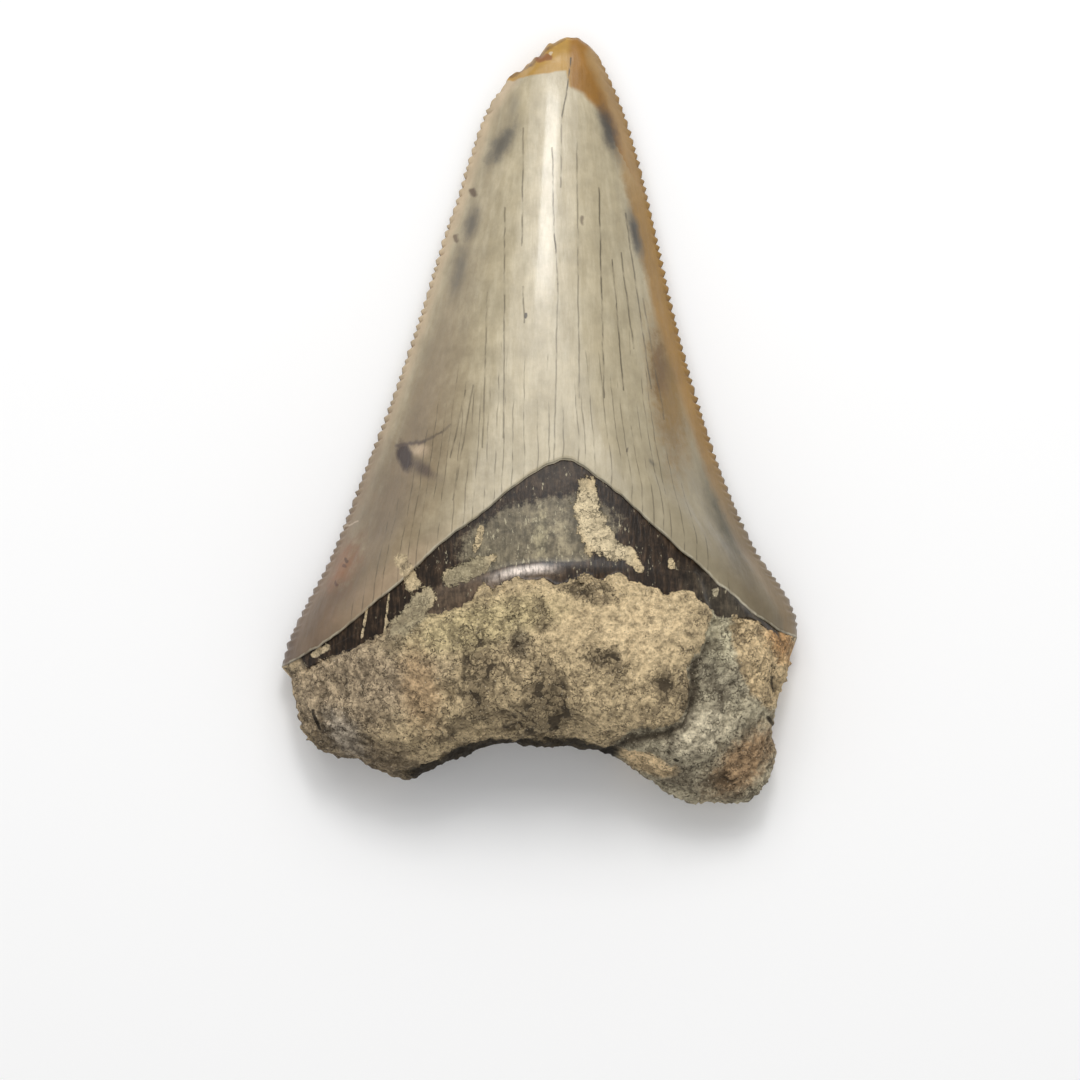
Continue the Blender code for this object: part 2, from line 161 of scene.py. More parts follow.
crustRelief = {
    "lumps": ((5.5, 0.6), (2.4, 0.4)),  # spread and height, as in the solid
    "lumpPlace": Vector((3.7, 1.9, 8.4)),
    "lumpEnd": (1.05, 8),  # row, and how fast they end
    "knobs": (0.9, 0.34),
    "grains": (0.4, 0.18),
    "folds": (1.0, 0.6),  # wavy ridges, longer than they are wide
    "foldStretch": Vector((0.45, 1.0, 1.0)),
    "edgeWobble": ((1.7, 0.75), (0.6, 0.4)),  # how the crust's upper edge wanders
    "edgeSlope": 0.35,
    "upperFade": 0.5,
    "labialShare": 0.5,  # of the relief
    "foldShare": 0.2,  # of the folds, where the crust isn't low or on the right lobe
    "lowPart": (4.5, 3.0),  # how far up from the base, and over what run
    "levels": (0.42, 0.3),  # of knobs and folds
}
# Crumbs of crust left on the neck band: start, end and radius
sediment = {
    "flakeTop": ((5.0, -7.0), (5.3, -10.0), 1.05),
    "flakeBody": ((4.9, -9.6), (5.9, -12.6), 1.7),
    "flakeSide": ((6.2, -11.6), (7.6, -13.8), 1.1),
    "flakeTail": ((6.6, -12.9), (9.6, -14.5), 0.8),
    "flakeHook": ((9.4, -13.9), (10.3, -15.6), 0.55),
    "smear": ((-8.9, -16.5), (-6.2, -15.3), 1.05),
    "smearRight": ((-6.4, -15.3), (-4.9, -14.6), 0.6),
    "edgeSmear": ((-14.2, -14.6), (-13.0, -17.2), 0.8),
    "tongue": ((-14.4, -21.6), (-11.6, -18.6), 1.2),
    "chipLeft": ((-5.9, -11.5), (-6.5, -13.6), 0.4),
    "dotRight": ((13.6, -14.9), (13.7, -15.3), 0.45),
    "dotFarRight": ((18.3, -17.9), (18.3, -18.1), 0.4),
    "streakLeft": ((-17.8, -19.8), (-18.3, -22.7), 0.16),
    "streakInner": ((-15.5, -18.3), (-15.9, -22.2), 0.14),
    "specksLeft": ((-23.4, -24.6), (-22.0, -23.8), 0.4),
}


def smoothStep(value):
    value = np.clip(value, 0.0, 1.0)
    return value * value * (3.0 - 2.0 * value)


def quarterRound(value):
    return np.sqrt(1.0 - (1.0 - np.clip(value, 0.0, 1.0)) ** 2)


def curveThrough(line, samples=600):
    # a place without a height has that of its line
    places = [corners[place] if isinstance(place, str) else place for place in lines[line]]
    knots = [Vector((*place, lineHeights.get(line))[:3]) for place in places]
    path = []
    for index in range(len(knots) - 1):
        start, end = knots[index], knots[index + 1]
        leave = (end - knots[max(index - 1, 0)]).normalized()
        arrive = (knots[min(index + 2, len(knots) - 1)] - start).normalized()
        reach = (end - start).length / 3
        path += interpolate_bezier(start, start + leave * reach, end - arrive * reach, end, 24)[:-1]
    path = np.array([*path, knots[-1]])
    along = np.concatenate([[0.0], np.cumsum(np.linalg.norm(np.diff(path, axis=0), axis=1))])
    even = np.linspace(0.0, along[-1], samples)
    return np.stack([np.interp(even, along, path[:, axis]) for axis in range(3)], axis=1)


def pointOn(curve, share):
    place = np.asarray(share) * (len(curve) - 1)
    index = np.arange(len(curve))
    return np.stack([np.interp(place, index, curve[:, axis]) for axis in range(3)], axis=1)


def stretch(bottom, top, left, right, across, up):
    acrossColumn, upColumn = across[:, None], up[:, None]
    betweenRows = (1 - upColumn) * pointOn(bottom, across) + upColumn * pointOn(top, across)
    betweenSides = (1 - acrossColumn) * pointOn(left, up) + acrossColumn * pointOn(right, up)
    low = (1 - acrossColumn) * bottom[0] + acrossColumn * bottom[-1]
    high = (1 - acrossColumn) * top[0] + acrossColumn * top[-1]
    return betweenRows + betweenSides - (1 - upColumn) * low - upColumn * high


def readTable(table, value):
    places, amounts = [row[0] for row in table], [row[1] for row in table]
    shifts = np.linspace(-toothForm["tableBlur"], toothForm["tableBlur"], 7)
    return sum(np.interp(value + shift, places, amounts) for shift in shifts) / len(shifts)


def sideOfLine(x, y, path):
    # distance to a line of straight stretches, above 0 on its left-hand side
    nearest = np.full(len(x), np.inf)
    side = np.ones(len(x))
    for start, end in zip(path, path[1:]):
        runX, runY = end[0] - start[0], end[1] - start[1]
        along = np.clip(((x - start[0]) * runX + (y - start[1]) * runY) / (runX**2 + runY**2), 0.0, 1.0)
        distance = np.hypot(x - start[0] - along * runX, y - start[1] - along * runY)
        turn = np.sign(runX * (y - start[1]) - runY * (x - start[0]))
        side = np.where(distance < nearest, turn, side)
        nearest = np.minimum(nearest, distance)
    return nearest * side


def spreadColumn(share):
    # columns stand closer together near both edges
    return 0.5 * share + 0.25 * (1 - math.cos(math.pi * share))


def spreadRow(row):
    rootRows, neckRows, crownRows = toothGrid["zoneRows"]
    if row > rootRows + neckRows:
        return 2 + (row - rootRows - neckRows) / crownRows
    start, rows = (0, rootRows) if row <= rootRows else (rootRows, neckRows)
    share = (row - start) / rows
    closer = 0.5 * (1 - math.cos(math.pi * share))
    return (start > 0) + 0.4 * share + 0.6 * closer


def makeEnvelope():
    # two grids welded at the rim: x is across, y is up through the three zones, and z is the side
    mesh = bmesh.new()
    rows = sum(toothGrid["zoneRows"])
    for side in (1, -1):
        grid = bmesh.ops.create_grid(mesh, x_segments=toothGrid["columns"], y_segments=rows, size=1.0)
        made = grid["verts"]
        for vert in made:
            onRim = max(abs(vert.co.x), abs(vert.co.y)) > 0.9999
            vert.co.z = 0.0 if onRim else side
        if side < 0:
            bmesh.ops.reverse_faces(mesh, faces=list({face for vert in made for face in vert.link_faces}))
    bmesh.ops.remove_doubles(mesh, verts=mesh.verts[:], dist=1e-5)
    for vert in mesh.verts:
        vert.co.x = spreadColumn((vert.co.x + 1) / 2)
        vert.co.y = spreadRow((vert.co.y + 1) / 2 * rows)
    return mesh


def refineEnvelope(mesh):
    # the crusted root gets twice the grid, and the strips beside the cutting edges get more rows
    stripWidth = spreadColumn(toothGrid["edgeColumns"] / toothGrid["columns"]) + 1e-5
    rootEdges, stripEdges = set(), []
    for face in mesh.faces:
        middle = face.calc_center_median()
        if middle.z > 0 and middle.y < 2:
            rootEdges.update(face.edges)
    for edge in mesh.edges:
        first, second = (vert.co for vert in edge.verts)
        runsUp = abs(first.x - second.x) < 1e-6
        nearRim = min(first.x, 1 - first.x) < stripWidth
        if runsUp and nearRim and min(first.y, second.y) > neckTop:
            stripEdges.append(edge)
    bmesh.ops.subdivide_edges(mesh, edges=stripEdges, cuts=toothGrid["edgeCuts"], use_grid_fill=True)
    rootEdges = [edge for edge in rootEdges if edge.is_valid]
    bmesh.ops.subdivide_edges(mesh, edges=rootEdges, cuts=1, use_grid_fill=True)
    bmesh.ops.triangulate(mesh, faces=[face for face in mesh.faces if len(face.verts) > 4])


def unevenEdge(enamelLine, samples=600):
    # the enamel's lower edge, which isn't quite smooth
    curve = curveThrough(enamelLine, samples)
    fade = smoothStep((0.5 - np.abs(np.linspace(-0.5, 0.5, samples))) / toothForm["wobbleFade"])
    for spread, reach in toothForm["enamelWobble"]:
        curve[:, 1] += reach * fade * 2 * noiseAt(curve[:, 0], 0 * curve[:, 0], spread)
    return curve


def sheetPoints(across, up, crustLine, enamelLine):
    crust, enamel = curveThrough(crustLine), unevenEdge(enamelLine)
    zones = [
        (curveThrough("base"), crust, "leftRoot", "rightRoot"),
        (crust, enamel, "leftNeck", "rightNeck"),
        (enamel, curveThrough("tip"), "leftEdge", "rightEdge"),
    ]
    places = np.zeros((len(up), 3))
    for index, (bottom, top, left, right) in enumerate(zones):
        within = np.clip(up - index, 0, 1)
        here = stretch(bottom, top, curveThrough(left), curveThrough(right), across, within)
        places = np.where((up >= index)[:, None], here, places)
    return places


def noiseAt(x, y, spread):
    shift = Vector((spread, spread, spread))
    places = np.stack([x, y, 0 * x], axis=1)
    return np.array([noise.noise(Vector(place) / spread + shift) for place in places])


def cone(x, y, start, end, radius):
    # 1 along a line, 0 at this distance from it and less beyond
    return np.clip(1 - np.abs(sideOfLine(x, y, [start, end])) / radius, -1, 1)


def blot(x, y, start, end, radius):
    # 1 in the middle, 0 on an oval that reaches this far past both ends
    runX, runY = end[0] - start[0], end[1] - start[1]
    length = math.hypot(runX, runY)
    offX, offY = x - (start[0] + end[0]) / 2, y - (start[1] + end[1]) / 2
    along = (offX * runX + offY * runY) / length / (length / 2 + radius)
    aside = (offX * runY - offY * runX) / length / radius
    return np.clip(1 - np.hypot(along, aside), -1, 1)


def serrationWave(across, up):
    count = toothForm["serrations"]
    chance = np.random.default_rng(toothForm["serrationSeed"])
    onRight = (across > 0.5).astype(int)
    place = count * np.clip(up - 2, 0, 1)
    drift = chance.uniform(-1, 1, (2, count + 1)) * toothForm["serrationDrift"]
    left, right = (np.interp(place, range(count + 1), side) for side in drift)
    place += np.where(onRight, right, left)
    uneven = chance.uniform(-1, 1, (2, count + 1)) * toothForm["serrationUnevenness"]
    height = 1 + uneven[onRight, np.clip(place.astype(int), 0, count)]
    share = place - np.floor(place + 1e-6)
    peak = toothForm["serrationPeak"]
    rise = np.where(share < peak, share / peak, (1 - share) / (1 - peak))
    return (np.clip(rise, 0, 1) ** toothForm["serrationSharpness"] - toothForm["serrationLevel"]) * height


def surfaceMarks(x, y, across, up, labial):
    # what the materials read from the mesh: distances in millimetres and amounts from 0 to 1
    marks = {"across": across, "lingual": 1.0 - labial}
    crustLine = curveThrough("lingualCrust", samples=90)
    enamelLine = unevenEdge("lingualEnamel", samples=160)
    labialLine = unevenEdge("labialEnamel", samples=80)
    inner = smoothStep((0.5 - np.abs(across - 0.5)) / 0.05)
    wander = sum(reach * noiseAt(x, y, spread) for spread, reach in crustRelief["edgeWobble"])
    crust = np.clip(wander * inner - sideOfLine(x, y, crustLine), -2, 2)
    marks["crust"] = np.where(labial, 2.0, crust) * (up < 2)
    labialGap, lingualGap = sideOfLine(x, y, labialLine), sideOfLine(x, y, enamelLine)
    marks["enamelGap"] = np.abs(np.where(labial, labialGap, lingualGap))
    edges = [curveThrough(edge, samples=60) for edge in ("leftEdge", "rightEdge")]
    sides = [np.abs(sideOfLine(x, y, edge)) for edge in edges]
    marks["edgeGap"] = np.clip(np.minimum(*sides), 0, 12)
    marks["baseGap"] = np.clip(np.abs(sideOfLine(x, y, curveThrough("base", samples=90))), 0, 6)
    marks["sheet"] = np.clip(sideOfLine(x, y, sheetEdge), -6, 6)
    marks["ledge"] = np.clip(sideOfLine(x, y, neckLedge), -3, 3)
    marks["tipEdge"] = np.clip(sideOfLine(x, y, tipEdge), -2, 2)
    crumbs = [cone(x, y, *crumb) for crumb in sediment.values()]
    marks["crumb"] = np.where(labial, -1.0, np.max(crumbs, axis=0))
    marks["veins"] = veinShare + sum(amount * smoothStep(1.4 * blot(x, y, start, end, radius))
                                     for start, end, radius, amount in veinPlaces.values())
    everywhere = enamelStains | marginStains | bandStains | patinaStains | crustStains | lobeStains
    for name, (start, end, radius, *_) in everywhere.items():
        marks[name] = blot(x, y, start, end, radius)
    for name, (start, end, radius, *_) in lingualStains.items():
        marks[name] = np.where(labial, -1.0, blot(x, y, start, end, radius))
    return marks


def toBase(places, across):
    # distance to the base's point at the same share across
    base = pointOn(curveThrough("base"), across)
    return np.linalg.norm(places[:, :2] - base[:, :2], axis=1)


def lingualHeight(places, across, up, marks):
    x, y, rim = places.T
    offMiddle = np.abs(2 * across - 1)
    fromBase = toBase(places, across) / toothForm["baseRounding"]
    rounded = quarterRound(np.where(up < 3, fromBase, 1)) ** toothForm["baseSharpness"]
    full = (1 - offMiddle**2) ** readTable(sideFall, y) * rounded
    full *= quarterRound((3 - up) / toothForm["tipRounding"])
    height = rim + (readTable(middleHeight, y) - rim) * full
    inside = smoothStep((1 - offMiddle) / toothForm["faceEdge"])
    depth, middle, spread = toothForm["dish"]
    (low, lowRun), (high, highRun) = toothForm["dishStart"], toothForm["dishEnd"]
    dish = np.exp(-(((offMiddle - middle) / spread) ** 2))
    dish = dish * smoothStep((y - low) / lowRun) * smoothStep((high - y) / highRun)
    height -= depth * dish * (up >= 2)
    onBand = inside * (up < neckTop)
    height -= toothForm["enamelThickness"] * onBand
    lip = np.clip(1 - marks["enamelGap"] / toothForm["lipWidth"], 0, 1) * (up >= 2)
    height += toothForm["enamelLip"] * inside * np.sin(math.pi * lip) ** 2
    height += toothForm["ledgeStep"] * smoothStep(0.5 - marks["ledge"] / toothForm["ledgeRun"]) * onBand
    crust = toothForm["crustThickness"] - toothForm["sheetStep"] * smoothStep(0.5 - marks["sheet"])
    grooveWidth = toothForm["grooveWidth"]
    groove = np.clip(1 - np.abs(marks["sheet"] + grooveWidth / 2) / grooveWidth, 0, 1)
    crust -= toothForm["grooveDepth"] * groove
    for bumpX, bumpY, radius, tall in rootBumps:
        reach = toothForm["bumpSpread"] * radius**2
        crust += tall * np.exp(-(((x - bumpX) ** 2 + (y - bumpY) ** 2) / reach))
    cover = smoothStep(marks["crust"] / crustRelief["edgeSlope"])
    return height + crust * cover * inside * quarterRound(fromBase) * (up < 2)


def labialHeight(places, across, up):
    x, y, rim = places.T
    inward = 1 - np.abs(2 * across - 1)
    fromBase = toBase(places, across) / toothForm["lobeRounding"]
    crownReach, rootReach = toothForm["labialRise"]
    crownRise = 1 - smoothStep(inward / crownReach)
    rootRise = 1 - quarterRound(inward / rootReach)
    start, run = toothForm["labialChange"]
    rise = rootRise + (crownRise - rootRise) * smoothStep((up - start) / run)
    rise = np.maximum(rise, 1 - quarterRound(fromBase))
    depth, middle, halfWidth, halfLength = toothForm["labialHollow"]
    hollow = np.clip(1 - ((x / halfWidth) ** 2 + ((y - middle) / halfLength) ** 2), 0, 1)
    lift, start, run = toothForm["tipLift"]
    lifted = lift * np.clip((y - start) / run, 0, 1) ** 2
    return rim * rise + (1 - rise) * (lifted + depth * hollow)


def placeVertices(mesh):
    across, up, side = np.array([vert.co for vert in mesh.verts]).T
    labial = side < 0
    upper = sheetPoints(across, up, "lingualCrust", "lingualEnamel")
    lower = sheetPoints(across, up, "labialCrust", "labialEnamel")
    x, y, _ = np.where(labial[:, None], lower, upper).T
    marks = surfaceMarks(x, y, across, up, labial)
    upper[:, 2] = np.where(side > 0, lingualHeight(upper, across, up, marks), upper[:, 2])
    lower[:, 2] = labialHeight(lower, across, up)
    places = np.where(labial[:, None], lower, upper)
    wave = serrationWave(across, up)
    inward = np.clip(marks["edgeGap"] / toothForm["serrationReach"], 0, 1)
    rising, ending = toothForm["serrationFade"]
    fade = (1 - smoothStep(inward)) * smoothStep((up - 2) * rising) * smoothStep((3 - up) * ending)
    places[:, 0] += np.sign(across - 0.5) * toothForm["serrationDepth"] * wave * fade
    places[:, 2] += side * toothForm["serrationRidge"] * wave * np.sin(math.pi * inward) * fade
    marks["serration"] = wave * fade
    (spread, depth), (start, speed) = toothForm["tipBreak"], toothForm["tipBreakStart"]
    last, run = toothForm["tipBreakEnd"]
    broken = smoothStep((up - start) * speed) * smoothStep((last - x) / run)
    places[:, 1] += depth * broken * noiseAt(x, y, spread) * 2
    for vert, place in zip(mesh.verts, places):
        vert.co = place
    return marks, up, labial


def roughenRoot(mesh, marks, up, labial):
    mesh.normal_update()
    last, speed = crustRelief["lumpEnd"]
    root = smoothStep((last - up) * speed)
    rough = smoothStep(marks["crust"] / crustRelief["upperFade"]) * (up < 2)
    rough = np.where(labial, crustRelief["labialShare"] * rough * root, rough)
    rightLobe = smoothStep(0.5 - marks["sheet"] / 2)
    reach, run = crustRelief["lowPart"]
    lowPart = smoothStep((reach - marks["baseGap"]) / run)
    foldShare = crustRelief["foldShare"] + (1 - crustRelief["foldShare"]) * np.maximum(rightLobe, lowPart)
    relief = np.zeros(len(rough))
    (knobSpread, knobHeight), (grainSpread, grainHeight) = crustRelief["knobs"], crustRelief["grains"]
    (foldSpread, foldHeight), (knobLevel, foldLevel) = crustRelief["folds"], crustRelief["levels"]
    moves = []
    for index, vert in enumerate(mesh.verts):
        if root[index] + rough[index] == 0:
            moves.append(Vector())
            continue
        place = vert.co
        height = sum(tall * noise.noise(place / spread + crustRelief["lumpPlace"])
                     for spread, tall in crustRelief["lumps"]) * root[index]
        fold = noise.turbulence(place * crustRelief["foldStretch"] / foldSpread, 2, False)
        fine = knobHeight * (knobLevel - noise.voronoi(place / knobSpread)[0][0])
        fine += grainHeight * noise.noise(place / grainSpread)
        fine += foldHeight * foldShare[index] * (foldLevel - abs(fold))
        relief[index] = fine * rough[index]
        height += relief[index]
        if labial[index]:
            height *= min(1.0, place.z / 2)
        moves.append(vert.normal * height)
    for vert, move in zip(mesh.verts, moves):
        vert.co += move
    marks["relief"] = relief


def seat(mesh):
    places = np.array([vert.co for vert in mesh.verts])
    low, high = places.min(axis=0), places.max(axis=0)
    cadLow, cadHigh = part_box("tooth")
    foot = Vector(((low[0] + high[0]) / 2, (low[1] + high[1]) / 2, low[2])) * millimetre
    goal = Vector(((cadLow.x + cadHigh.x) / 2, (cadLow.y + cadHigh.y) / 2, cadLow.z))
    bmesh.ops.scale(mesh, vec=(millimetre,) * 3, verts=mesh.verts[:])
    bmesh.ops.translate(mesh, vec=goal - foot, verts=mesh.verts[:])


def makeTooth(materials):
    mesh = makeEnvelope()
    refineEnvelope(mesh)
    for face in mesh.faces:
        face.material_index = 0 if face.calc_center_median().y > toothGrid["enamelFrom"] else 1
        face.smooth = True
    marks, up, labial = placeVertices(mesh)
    roughenRoot(mesh, marks, up, labial)
    seat(mesh)
    data = bpy.data.meshes.new("toothSurface")
    mesh.to_mesh(data)
    mesh.free()
    for name, values in marks.items():
        attribute = data.attributes.new(name, "FLOAT", "POINT")
        attribute.data.foreach_set("value", np.asarray(values, dtype=np.float32))
    for material in materials:
        data.materials.append(material)
    tooth = bpy.data.objects.new("toothSurface", data)
    scene.collection.objects.link(tooth)
    data.calc_loop_triangles()
    print("tooth made,", len(data.loop_triangles), "triangles")
    return tooth


# Small builders for node trees. They find the tree through the sockets that they are given
def treeOf(values):
    return next(value.id_data for value in values if isinstance(value, bpy.types.NodeSocket))


def connect(node, inputs):
    for key, value in inputs.items():
        if isinstance(value, bpy.types.NodeSocket):
            value.id_data.links.new(value, node.inputs[key])
        else:
            node.inputs[key].default_value = value


def addNode(tree, kind, inputs=None, **settings):
    made = tree.nodes.new(kind)
    for name, value in settings.items():
        setattr(made, name, value)
    connect(made, inputs or {})
    return made


def calculate(operation, *values, clamp=False):
    inputs = dict(enumerate(values))
    return addNode(treeOf(values), "ShaderNodeMath", inputs, operation=operation, use_clamp=clamp).outputs[0]


def chain(operation, result, *others):
    for value in others:
        result = calculate(operation, result, value)
    return result


def plus(*values):
    return chain("ADD", *values)


def times(*values):
    return chain("MULTIPLY", *values)


def highest(*values):
    return chain("MAXIMUM", *values)


def minus(first, second):
    return calculate("SUBTRACT", first, second)


def vectorStep(operation, *values, output=0):
    inputs = dict(enumerate(values))
    return addNode(treeOf(values), "ShaderNodeVectorMath", inputs, operation=operation).outputs[output]


def stretched(place, factors):
    return vectorStep("MULTIPLY", place, factors)


def scaled(vector, factor):
    inputs = {0: vector, "Scale": factor}
    return addNode(vector.id_data, "ShaderNodeVectorMath", inputs, operation="SCALE").outputs[0]


def between(value, low, high, toLow=0.0, toHigh=1.0, steps="SMOOTHSTEP"):
    inputs = {"Value": value, "From Min": low, "From Max": high, "To Min": toLow, "To Max": toHigh}
    return addNode(value.id_data, "ShaderNodeMapRange", inputs, interpolation_type=steps).outputs[0]


def bell(value, low, middle, high):
    return calculate("MINIMUM", between(value, low, middle), between(value, high, middle))


def blend(share, first, second, way="MIX"):
    mixer = addNode(treeOf((share, first, second)), "ShaderNodeMix", data_type="RGBA", blend_type=way)
    for key, value in ((0, share), (6, first), (7, second)):
        connect(mixer, {key: (*value, 1.0) if isinstance(value, tuple) else value})
    return mixer.outputs[2]


def blendValue(share, first, second):
    inputs = {0: share, 2: first, 3: second}
    return addNode(treeOf(inputs.values()), "ShaderNodeMix", inputs, data_type="FLOAT").outputs[0]


def noiseNode(place, scale, detail, roughness=0.5):
    inputs = {"Vector": place, "Scale": scale, "Detail": detail, "Roughness": roughness}
    return addNode(place.id_data, "ShaderNodeTexNoise", inputs)


def cloud(place, scale, detail=2.0, roughness=0.5):
    return noiseNode(place, scale, detail, roughness).outputs[0]


def signedCloud(place, scale, detail=2.0, roughness=0.5):
    return times(minus(cloud(place, scale, detail, roughness), 0.5), 2.0)


def wobbled(place, scale, reach):
    centred = vectorStep("SUBTRACT", noiseNode(place, scale, 3.0).outputs["Color"], (0.5, 0.5, 0.5))
    return vectorStep("ADD", place, scaled(centred, reach * 2))


def mark(tree, name):
    return addNode(tree, "ShaderNodeAttribute", attribute_name=name).outputs["Fac"]


def frayed(ragged, name, amount):
    # a mark from the mesh, its edges frayed by noise
    return plus(mark(ragged.id_data, name), times(ragged, amount))


def toothPlace(tree):
    # object coordinates in millimetres, and x and y of them
    place = scaled(addNode(tree, "ShaderNodeTexCoord").outputs["Object"], 1 / millimetre)
    axes = addNode(tree, "ShaderNodeSeparateXYZ", {0: place}).outputs
    return place, axes[0], axes[1]


def newGroup(name, inputs, outputs):
    # what an input holds at first gives its kind: nothing is a vector, four numbers are a colour
    group = bpy.data.node_groups.new(name, "ShaderNodeTree")
    for label, value in inputs.items():
        kind = "Vector" if value is None else "Color" if isinstance(value, tuple) else "Float"
        socket = group.interface.new_socket(label, in_out="INPUT", socket_type="NodeSocket" + kind)
        if value is not None:
            socket.default_value = value
    for label, kind in outputs.items():
        group.interface.new_socket(label, in_out="OUTPUT", socket_type="NodeSocket" + kind)
    return group, group.nodes.new("NodeGroupInput").outputs, group.nodes.new("NodeGroupOutput")


def useGroup(group, inputs):
    made = addNode(treeOf(inputs.values()), "ShaderNodeGroup", node_tree=group)
    connect(made, inputs)
    return made.outputs


def makeStrokeGroup():
    # a soft line or dot on the tooth as seen from above
    inputs = {"Place": None, "Start": None, "End": None, "Width": 0.1, "Softness": 0.5}
    group, given, result = newGroup("stroke", inputs, {"Mask": "Float"})
    offset = vectorStep("SUBTRACT", stretched(given["Place"], (1, 1, 0)), given["Start"])
    run = vectorStep("SUBTRACT", given["End"], given["Start"])
    onRun = vectorStep("DOT_PRODUCT", offset, run, output=1)
    lengthSquared = vectorStep("DOT_PRODUCT", run, run, output=1)
    share = calculate("DIVIDE", onRun, lengthSquared, clamp=True)
    distance = vectorStep("DISTANCE", offset, scaled(run, share), output=1)
    inner = times(given["Width"], minus(1.0, given["Softness"]))
    connect(result, {"Mask": between(distance, given["Width"], inner)})
    return group


def makeFineLinesGroup():
    # hairline cracks that fan out from the tip, a random distance apart
    inputs = {"Fan": 0.0, "Place": None, "Spacing": 1.0, "Width": 0.05, "Cover": 0.5}
    group, given, result = newGroup("fineLines", inputs, {"Mask": "Float"})
    along = {"W": calculate("DIVIDE", given["Fan"], given["Spacing"]), "Scale": 1.0}
    cells = addNode(group, "ShaderNodeTexVoronoi", along, voronoi_dimensions="1D",
                    feature="DISTANCE_TO_EDGE").outputs["Distance"]
    line = between(times(cells, given["Spacing"]), given["Width"], 0.0)
    shown = cloud(stretched(given["Place"], (1.0, 0.12, 0.0)), 1.1, 3.0, 0.6)
    least = minus(1.0, given["Cover"])
    connect(result, {"Mask": times(line, between(shown, least, plus(least, 0.08)))})
    return group


# Noises have scale, detail and roughness. Ranges have from, to and, where not 0 and 1, the amounts there
sandLook = {
    "crumbs": (1.2, 5.0, 0.66),
    "grains": (3.0, 3.0, 0.62),
    "crumbShare": 0.6,
    "tone": (0.38, 0.62, 0.48, 1.5),  # from the darkest to the palest sand, as shares of the tan
    "gathering": (0.42, 5.0, 0.7),  # where veins and dark grains gather
    "gatheringStrength": 1.3,
    "darkening": 0.17,
    "winding": (0.8, 4.0, 0.62),
    "veinWidth": 0.3,
    "veinDarkness": 0.95,
    "specks": (0.675, 0.74, 0.0, 0.75),
    "soil": (0.62, 0.70, 0.0, 0.65),
    "hollow": (0.0, -0.17),
    "hollowDarkness": (0.0, 1.0, 0.15, 0.85),
    "lumpWobble": (1.1, 0.6),
    "lumpScale": 0.78,
    "creviceShade": (0.52, 0.69, 0.0, 0.95),
    "glintNoise": (6.0, 1.0),
    "glints": (0.71, 0.76, 0.0, 0.75),
    "heights": (1.8, 0.6, -0.4, -1.5),  # of crumbs, grains, dark places and the way from each lump's middle
}


def makeSandyCrustGroup():
    # cemented sand: uneven tan, winding dark veins, dark and bright grains, painted shade in hollows and
    # crevices
    look = sandLook
    inputs = {"Place": None, "Relief": 0.0, "Tan": (0.52, 0.41, 0.25, 1), "Shade": (0.06, 0.045, 0.03, 1),
              "Glint": (0.8, 0.7, 0.54, 1), "Veins": 0.5}
    group, given, result = newGroup("sandyCrust", inputs, {"Color": "Color", "Height": "Float"})
    place = given["Place"]
    crumbs, grains = cloud(place, *look["crumbs"]), cloud(place, *look["grains"])
    mixed = plus(times(crumbs, look["crumbShare"]), times(grains, 1 - look["crumbShare"]))
    colour = blend(1.0, given["Tan"], between(mixed, *look["tone"], "LINEAR"), "MULTIPLY")
    gathering = times(signedCloud(place, *look["gathering"]), look["gatheringStrength"])
    veins = calculate("ADD", given["Veins"], gathering, clamp=True)
    lean = times(veins, look["darkening"])
    winding = calculate("ABSOLUTE", minus(cloud(place, *look["winding"]), 0.5))
    line = between(winding, times(lean, look["veinWidth"]), 0.0, 0.0, look["veinDarkness"])
    specks = between(plus(grains, lean), *look["specks"])
    soiled = between(plus(crumbs, lean), *look["soil"])
    # painted shade: the hollows of the mesh's relief and the crevices between lumps are darkened
    hollow = times(between(given["Relief"], *look["hollow"]), between(veins, *look["hollowDarkness"]))
    lumpInputs = {"Vector": wobbled(place, *look["lumpWobble"]), "Scale": look["lumpScale"]}
    toLump = addNode(group, "ShaderNodeTexVoronoi", lumpInputs).outputs["Distance"]
    creviceShade = times(between(toLump, *look["creviceShade"]), veins)
    dark = highest(line, specks, soiled, hollow, creviceShade)
    glint = between(cloud(place, *look["glintNoise"]), *look["glints"])
    heights = [times(part, tall) for part, tall in zip((crumbs, grains, dark, toLump), look["heights"])]
    colour = blend(glint, blend(dark, colour, given["Shade"]), given["Glint"])
    connect(result, {"Color": colour, "Height": plus(*heights)})
    return group


def newMaterial(name):
    material = bpy.data.materials.new(name)
    material.use_nodes = True
    tree = material.node_tree
    return material, tree, tree.nodes["Principled BSDF"]


def strokeMask(place, start, end, width, softness):
    inputs = {"Place": place, "Start": (*start, 0), "End": (*end, 0), "Width": width, "Softness": softness}
    return useGroup(strokeGroup, inputs)["Mask"]


def crackMasks(place, cracks, width, softness):
    return [times(strokeMask(place, start, end, width, softness), darkness)
            for start, end, darkness in cracks.values()]


def crumbMask(place):
    # crumbs of crust on the neck band
    return between(frayed(signedCloud(place, 1.1, 6.0, 0.72), "crumb", 1.1), 0.05, 0.2)


def paintStains(colour, stains, ragged):
    # broad stains, measured on the mesh, with edges frayed by noise
    for name, (_, _, _, softness, strength, tint, fraying) in stains.items():
        colour = blend(between(frayed(ragged, name, fraying), 0.0, softness, 0.0, strength), colour, tint)
    return colour


def paintMarks(colour, marks, place, shown):
    # small marks, drawn as strokes
    for start, end, width, softness, strength, tint in marks.values():
        mask = times(strokeMask(place, start, end, width, softness), shown, strength)
        colour = blend(mask, colour, tint)
    return colour


def finishSurface(surface, height, inputs):
    # the height is in millimetres
    bumpInputs = {"Strength": 1.0, "Distance": millimetre, "Height": height}
    bump = addNode(surface.id_data, "ShaderNodeBump", bumpInputs)
    connect(surface, {**inputs, "Normal": bump.outputs[0]})


